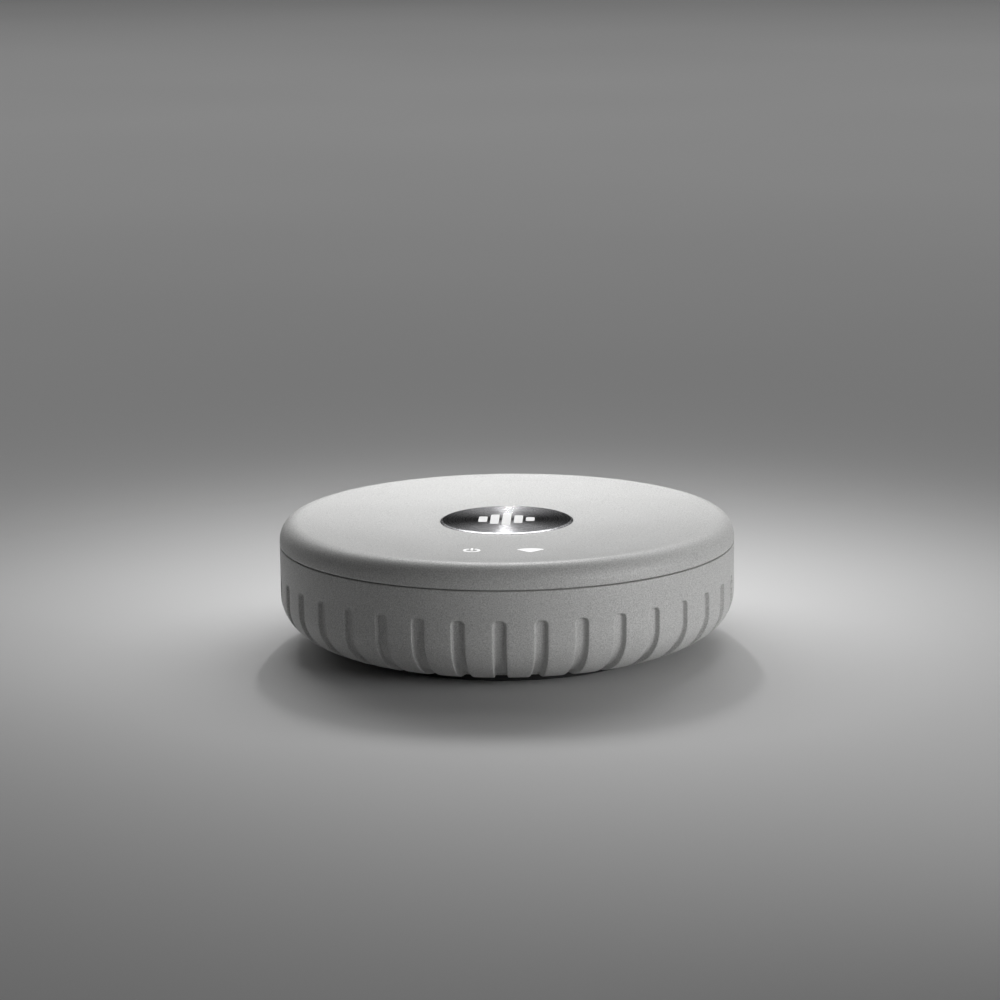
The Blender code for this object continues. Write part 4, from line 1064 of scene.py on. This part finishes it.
def make_emblem():
    """A generic mark of five bars of sound, printed on the badge."""
    heights = (7.0, 12.0, 15.4, 10.0, 5.0)
    width, pitch, corner = 2.4 * MM, 3.25 * MM, 0.6 * MM
    low = BADGE_HIGH.z - 0.02 * MM
    high = low + 0.05 * MM
    bars = []
    for k, height in enumerate(heights):
        x = (k - (len(heights) - 1) / 2) * pitch
        outline = slab_outline(width / 2, height * MM / 2, corner, (x, 0))
        bars.append(prism(f"bar_{k}", outline, low, high))
    combine(bars[0], "UNION", *bars[1:])
    bars[0].name = "badge_emblem"
    finish_piece(bars[0], "white_plastic", material=WHITE_INK)


# ---- Base --------------------------------------------------------------------------------------
def make_base():
    """The plate with its foot's groove, fine rings underneath, screw posts and standoffs."""
    low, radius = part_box("base_plate")[0].z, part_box("base_plate")[1].x
    groove = (FOOT_IN_R - GAP, FOOT_OUT_R + GAP)
    groove_z = FOOT_HIGH.z + GAP
    ring_width, ring_depth = 0.8 * MM, 0.35 * MM
    rings = []
    for k in range(3):
        r = (14 + 5 * k) * MM
        corners = ((r, low), (r, low + ring_depth))
        corners += ((r + ring_width, low + ring_depth), (r + ring_width, low))
        rings += [(*corner, 0.1 * MM) for corner in corners]
    plate = turned(
        "base_plate_shell",
        [(0, low, 0), *rings,
         (groove[0], low, 0.25 * MM), (groove[0], groove_z, 0.1 * MM),
         (groove[1], groove_z, 0.1 * MM), (groove[1], low, 0.25 * MM),
         (radius, low, 0.35 * MM), (radius, PLATE_TOP_Z, 0.2 * MM), (0, PLATE_TOP_Z, 0)],
        192,
    )
    above = STANDOFF_Z + 4 * CUT_CLEAR
    posts, sinks = [], []
    for k, degrees in enumerate(COLUMN_ANGLES):
        place = around(COLUMN_AT_R, degrees)
        post = cylinder(BASE_BOSS_R, PLATE_POST_Z, BASE_BOSS_Z, 0.2 * MM)
        sink = [(0, above, 0), (SCREW_BORE_R, above, 0), (SCREW_BORE_R, SCREW_SEAT_Z, 0),
                (SCREW_HEAD_R, SCREW_SEAT_Z, 0), (SCREW_HEAD_R, low, 0), (0, low, 0)]
        posts.append(moved(turned(f"base_post_{k}", post, 40), place))
        sinks.append(moved(turned(f"base_sink_{k}", sink, 40), place))
    for k, degrees in enumerate(STANDOFF_ANGLES):
        place = around(STANDOFF_AT_R, degrees)
        post = cylinder(STANDOFF_R, PLATE_POST_Z, STANDOFF_Z, 0.2 * MM)
        sink = cylinder(STANDOFF_HOLE_R, STANDOFF_HOLE_Z, above)
        posts.append(moved(turned(f"standoff_{k}", post, 32), place))
        sinks.append(moved(turned(f"standoff_hole_{k}", sink, 24), place))
    combine(plate, "UNION", *posts)
    combine(plate, "DIFFERENCE", *sinks)
    finish_piece(plate, "black_plastic", ["base_plate"])


def make_foot():
    """A rubber ring with rounded edges and two shallow grip grooves in its sole."""
    low, high = FOOT_LOW.z, FOOT_HIGH.z
    depth, wall, width = 0.5 * MM, 0.2 * MM, 1.1 * MM
    grooves = []
    for r in FOOT_GROOVES_R:
        grooves += [
            (r, low, 0.15 * MM), (r + wall, low + depth, 0.1 * MM),
            (r + width - wall, low + depth, 0.1 * MM), (r + width, low, 0.15 * MM),
        ]
    foot = turned(
        "foot_ring_rubber",
        [(FOOT_IN_R, high, 0.1 * MM), (FOOT_IN_R, low, 0.5 * MM), *grooves,
         (FOOT_OUT_R, low, 0.7 * MM), (FOOT_OUT_R, high, 0.1 * MM)],
        192,
    )
    finish_piece(foot, "rubber", ["foot_ring"])


# ---- Sockets -----------------------------------------------------------------------------------
def make_panel():
    panel = rounded_box("port_panel_plate", PANEL_LOW, PANEL_HIGH, 0.15 * MM, 2)
    combine(panel, "INTERSECT", inset_outline("panel_limit", WALL + GAP, 16))
    low, high = PANEL_LOW.y - CUT_CLEAR, PANEL_HIGH.y + CUT_CLEAR
    sizes = {"dc": (DC_R + 0.1 * MM, DC_X), "button": (BUTTON_R + 0.12 * MM, BUTTON_X)}
    for side, x in RCA_X.items():
        sizes[side] = (COLLAR_R + 0.1 * MM, x)
    holes = [
        turned_back(f"hole_{name}", cylinder(radius, low, high), x)
        for name, (radius, x) in sizes.items()
    ]
    jack_low, jack_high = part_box("optical_jack")
    margin = Vector((0.1 * MM, 0, 0.1 * MM))
    reach = Vector((0, 3 * MM, 0))
    low, high = jack_low - margin + reach * 3, jack_high + margin + reach
    holes.append(rounded_box("hole_optical", low, high, 0.1 * MM, 1))
    combine(panel, "DIFFERENCE", *holes)
    finish_piece(panel, "black_plastic", ["port_panel"])


def make_dc_inlet():
    """A block with a round nose through the panel, its bore, and the contact in the bore."""
    low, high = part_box("dc_inlet")
    body = rounded_box("dc_inlet_body", low, (high.x, SOCKET_FRONT_Y, high.z), 0.3 * MM)
    tip, floor = high.y, FACE_Y - DC_BORE_DEPTH
    flare, flare_depth = 1.25 * MM, 0.25 * MM
    nose = cylinder(DC_R, SOCKET_FRONT_Y - 2 * MM, tip, 0.3 * MM)
    bore = [(0, tip + CUT_CLEAR, 0), (DC_BORE_R + flare, tip + CUT_CLEAR, 0),
            (DC_BORE_R, tip - flare_depth, 0), (DC_BORE_R, floor, 0.2 * MM), (0, floor, 0)]
    combine(body, "UNION", turned_back("dc_nose", nose, DC_X))
    combine(body, "DIFFERENCE", turned_back("dc_bore", bore, DC_X))
    finish_piece(body, "black_plastic", ["dc_inlet"])
    low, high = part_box("dc_inlet_pin")
    contact = cylinder((high.x - low.x) / 2, low.y, high.y, 0.7 * MM)
    pin = turned_back("dc_inlet_contact", contact, DC_X, 40, 6)
    finish_piece(pin, "nickel_plate", ["dc_inlet_pin"])


def make_rca(side, plastic):
    """A phono socket: plastic block, collar and core in one, and the plated barrel round it."""
    x = RCA_X[side]
    node, barrel_node = f"rca_{side}_body", f"rca_{side}_barrel"
    low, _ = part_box(node)
    barrel_low, barrel_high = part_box(barrel_node)
    tip = barrel_high.y
    past = tip + CUT_CLEAR
    high = (x + RCA_HALF_WIDTH, SOCKET_FRONT_Y, SOCKET_Z + 5.2 * MM)
    body = rounded_box(f"rca_{side}_block", (x - RCA_HALF_WIDTH, low.y, low.z), high, 0.3 * MM)
    collar_y, foot_y = FACE_Y + 0.3 * MM, SOCKET_FRONT_Y - 1 * MM
    seat_y, hole_y = barrel_low.y - GAP, FACE_Y - 4 * MM
    core_y = tip - 0.5 * MM
    groove_r = BARREL_R[1] + 0.08 * MM
    core = [(0, core_y, 0), (CORE_R, core_y, 0.25 * MM), (CORE_R, collar_y, 0),
            (COLLAR_R, collar_y, 0.4 * MM), (COLLAR_R, foot_y, 0), (0, foot_y, 0)]
    groove = [(groove_r, past, 0), (groove_r, seat_y, 0),
              (CORE_GROOVE_R, seat_y, 0), (CORE_GROOVE_R, past, 0)]
    hole = [(0, past, 0), (CORE_GROOVE_R, past, 0), (CENTRE_HOLE_R, tip - 0.9 * MM, 0),
            (CENTRE_HOLE_R, hole_y, 0), (0, hole_y, 0)]
    combine(body, "UNION", turned_back(f"rca_{side}_core", core, x, 72))
    cuts = [turned_back(f"rca_{side}_groove", groove, x, 72)]
    cuts.append(turned_back(f"rca_{side}_hole", hole, x, 48))
    combine(body, "DIFFERENCE", *cuts)
    finish_piece(body, plastic, [node])
    inner, outer = BARREL_R
    sleeve = [(outer, tip, 0.28 * MM), (outer, barrel_low.y, 0.1 * MM),
              (inner, barrel_low.y, 0.1 * MM), (inner, tip, 0.28 * MM)]
    barrel = turned_back(f"rca_{side}_sleeve", sleeve, x, 96)
    finish_piece(barrel, "nickel_plate", [barrel_node])


def shutter_hinge():
    """The record's place for the shutter's joint."""
    joints = frame["record"]["behaviour"]["joints"]
    return Vector(next(j["pos_m"] for j in joints if j["name"] == "optical_shutter_hinge"))


def along_hinge(name, radius, reach, steps, fillets=0.0):
    """A cylinder along X on the shutter's hinge, reach long each way."""
    outline = [(0, reach, 0), (radius, reach, fillets), (radius, -reach, fillets),
               (0, -reach, 0)]
    place = Matrix.Translation(shutter_hinge()) @ Matrix.Rotation(math.pi / 2, 4, "Y")
    return moved(turned(name, outline, steps), place)


def make_optical_jack():
    """A square jack with a chamfered mouth and a chamber behind it for its shutter."""
    low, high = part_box("optical_jack")
    half_x, half_z, lip = OPTICAL_HALF_X, OPTICAL_HALF_Z, 1.0 * MM
    rim_width, rim_depth = 0.45 * MM, 0.3 * MM
    jack = rounded_box("optical_jack_body", low, high, 0.35 * MM)
    front, top = high.y, OPTICAL_CHAMBER_TOP
    mouth_outline = slab_outline(half_x, half_z, 0.5 * MM)
    mouth = prism("mouth", mouth_outline, -CUT_CLEAR, lip + 2 * CUT_CLEAR)
    rim_outline = slab_outline(half_x + rim_width, half_z + rim_width, 0.8 * MM)
    rim = prism("rim", rim_outline, 0, CUT_CLEAR)
    corners = [(-half_x, -half_z), (half_x, -half_z), (half_x, top), (-half_x, top)]
    chamber = prism("chamber", corners, -OPTICAL_CHAMBER_DEPTH, 0)
    # prisms stand on Z: turn them so that Z runs back along +Y and their Y becomes height
    upright = Matrix.Rotation(math.pi / 2, 4, "X") @ Matrix.Rotation(math.pi, 4, "Y")
    for piece, y in ((mouth, front - lip), (rim, front - rim_depth), (chamber, front - lip)):
        moved(piece, Matrix.Translation((OPTICAL_X, y, SOCKET_Z)) @ upright)
    pocket = along_hinge("pocket", SHUTTER_POCKET_R, SHUTTER_POCKET_REACH, 32)
    bore = turned_back("bore", cylinder(OPTICAL_BORE_R, low.y + 2 * MM, front), OPTICAL_X, 40)
    combine(jack, "DIFFERENCE", chamber, mouth, rim, pocket, bore)
    finish_piece(jack, "black_plastic", ["optical_jack"])


def make_shutter():
    """A thin flap under its hinge pins."""
    low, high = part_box("optical_shutter")
    hinge = shutter_hinge()
    half_y = SHUTTER_THICKNESS / 2
    first = (OPTICAL_X - SHUTTER_HALF_X, hinge.y - half_y, low.z)
    last = (OPTICAL_X + SHUTTER_HALF_X, hinge.y + half_y, hinge.z + 0.1 * MM)
    flap = rounded_box("optical_shutter_flap", first, last, 0.12 * MM)
    reach = (high.x - low.x) / 2
    combine(flap, "UNION", along_hinge("shutter_pins", SHUTTER_PIN_R, reach, 24, 0.1 * MM))
    dark = MATERIALS["dark_plastic"]
    finish_piece(flap, "black_plastic", ["optical_shutter"], "optical_shutter", dark)


def make_button():
    """A cap with a dished, rounded end and a flange behind the panel that keeps it in."""
    low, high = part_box("pair_button_cap")
    flange_r, flange_y = (high.x - low.x) / 2, PANEL_LOW.y - 0.6 * MM
    outline = [
        (0, high.y - 0.15 * MM, 0), (1.0 * MM, high.y - 0.12 * MM, 0),
        (BUTTON_R - 0.3 * MM, high.y, 0.15 * MM), (BUTTON_R, high.y - 0.25 * MM, 0.2 * MM),
        (BUTTON_R, flange_y, 0), (flange_r, flange_y, 0), (flange_r, low.y, 0), (0, low.y, 0),
    ]
    cap = turned_back("pair_button", outline, BUTTON_X)
    finish_piece(cap, "dark_plastic", ["pair_button_cap"], "pair_button")


# ---- Stage, light and camera -------------------------------------------------------------------
def make_stage():
    bpy.ops.mesh.primitive_plane_add(size=14, location=(0, 0, CAD_BOX[0].z))
    floor = bpy.context.object
    floor.name = "floor"
    finish = Finish("floor", 0.7)
    finish.colours(finish.noise(0.4, detail=1), (0.70, 0.70, 0.70), (0.728, 0.728, 0.728))
    floor.data.materials.append(finish.material)
    world = bpy.data.worlds.new("studio")
    world.use_nodes = True
    background = world.node_tree.nodes["Background"]
    background.inputs["Color"].default_value = (1, 1, 1, 1)
    background.inputs["Strength"].default_value = 0.02
    bpy.context.scene.world = world


def softbox(name, location, aim, size, power, spread=180):
    """An area light at a place, facing a point. A narrow spread keeps its light off the rest."""
    data = bpy.data.lights.new(name, "AREA")
    data.shape = "RECTANGLE"
    data.size, data.size_y = size
    data.energy = power
    data.spread = math.radians(spread)
    light = bpy.data.objects.new(name, data)
    light.location = location
    light.rotation_euler = (Vector(aim) - Vector(location)).to_track_quat("-Z", "Y").to_euler()
    light.visible_camera = False
    bpy.context.scene.collection.objects.link(light)


def make_lights():
    """A strip above the back rim, boxes to the object's right and in front of it, a narrow one
    far behind for the badge's sheen, and a lit backdrop."""
    softbox("key", (0, 0.062, 0.146), (0, 0.061, 0.036), (0.24, 0.05), 0.20)
    softbox("side", (0.371, -0.197, 0.09), (0, 0, 0.025), (0.22, 0.10), 0.07, 60)
    softbox("fill", (0.308, -0.394, 0.14), (0, 0, 0.02), (0.08, 0.08), 0.022, 60)
    softbox("sheen", (-0.018, 0.38, 0.40), (0, 0, 0.035), (0.012, 0.10), 0.045, 60)
    softbox("overhead", (0, 1.8, 1.3), (0, 1.8, 0), (4.0, 3.0), 18)
    bpy.context.scene.view_settings.view_transform = "Standard"


def make_camera():
    """Seen from a little to the object's right and 12.5 degrees above the joint of its shells,
    and aimed a little above it."""
    turn, height = math.radians(2.0), math.radians(12.534)
    distance = 14.58 * BODY_RADIUS
    aim = Vector((0, 0, HOUSING_TOP_Z + GAP / 2))
    offset = Vector(
        (math.sin(turn) * math.cos(height), -math.cos(turn) * math.cos(height), math.sin(height))
    )
    pan, tilt, roll = math.radians(2.114), math.radians(-11.865), math.radians(-0.614)
    data = bpy.data.cameras.new("camera")
    data.sensor_width = 36
    data.lens = 118.97
    data.clip_start = 0.01
    camera = bpy.data.objects.new("camera", data)
    camera.matrix_world = (
        Matrix.Translation(aim + offset * distance)
        @ Matrix.Rotation(pan, 4, "Z")
        @ Matrix.Rotation(math.pi / 2 + tilt, 4, "X")
        @ Matrix.Rotation(roll, 4, "Z")
    )
    bpy.context.scene.collection.objects.link(camera)
    bpy.context.scene.camera = camera


# ---- Build -------------------------------------------------------------------------------------
make_camera()
make_stage()
make_lights()
dress_cad_nodes()
make_housing()
make_lid()
make_symbols()
make_badge()
make_emblem()
make_base()
make_foot()
make_panel()
make_dc_inlet()
make_rca("right", "red_plastic")
make_rca("left", "white_plastic")
make_optical_jack()
make_shutter()
make_button()
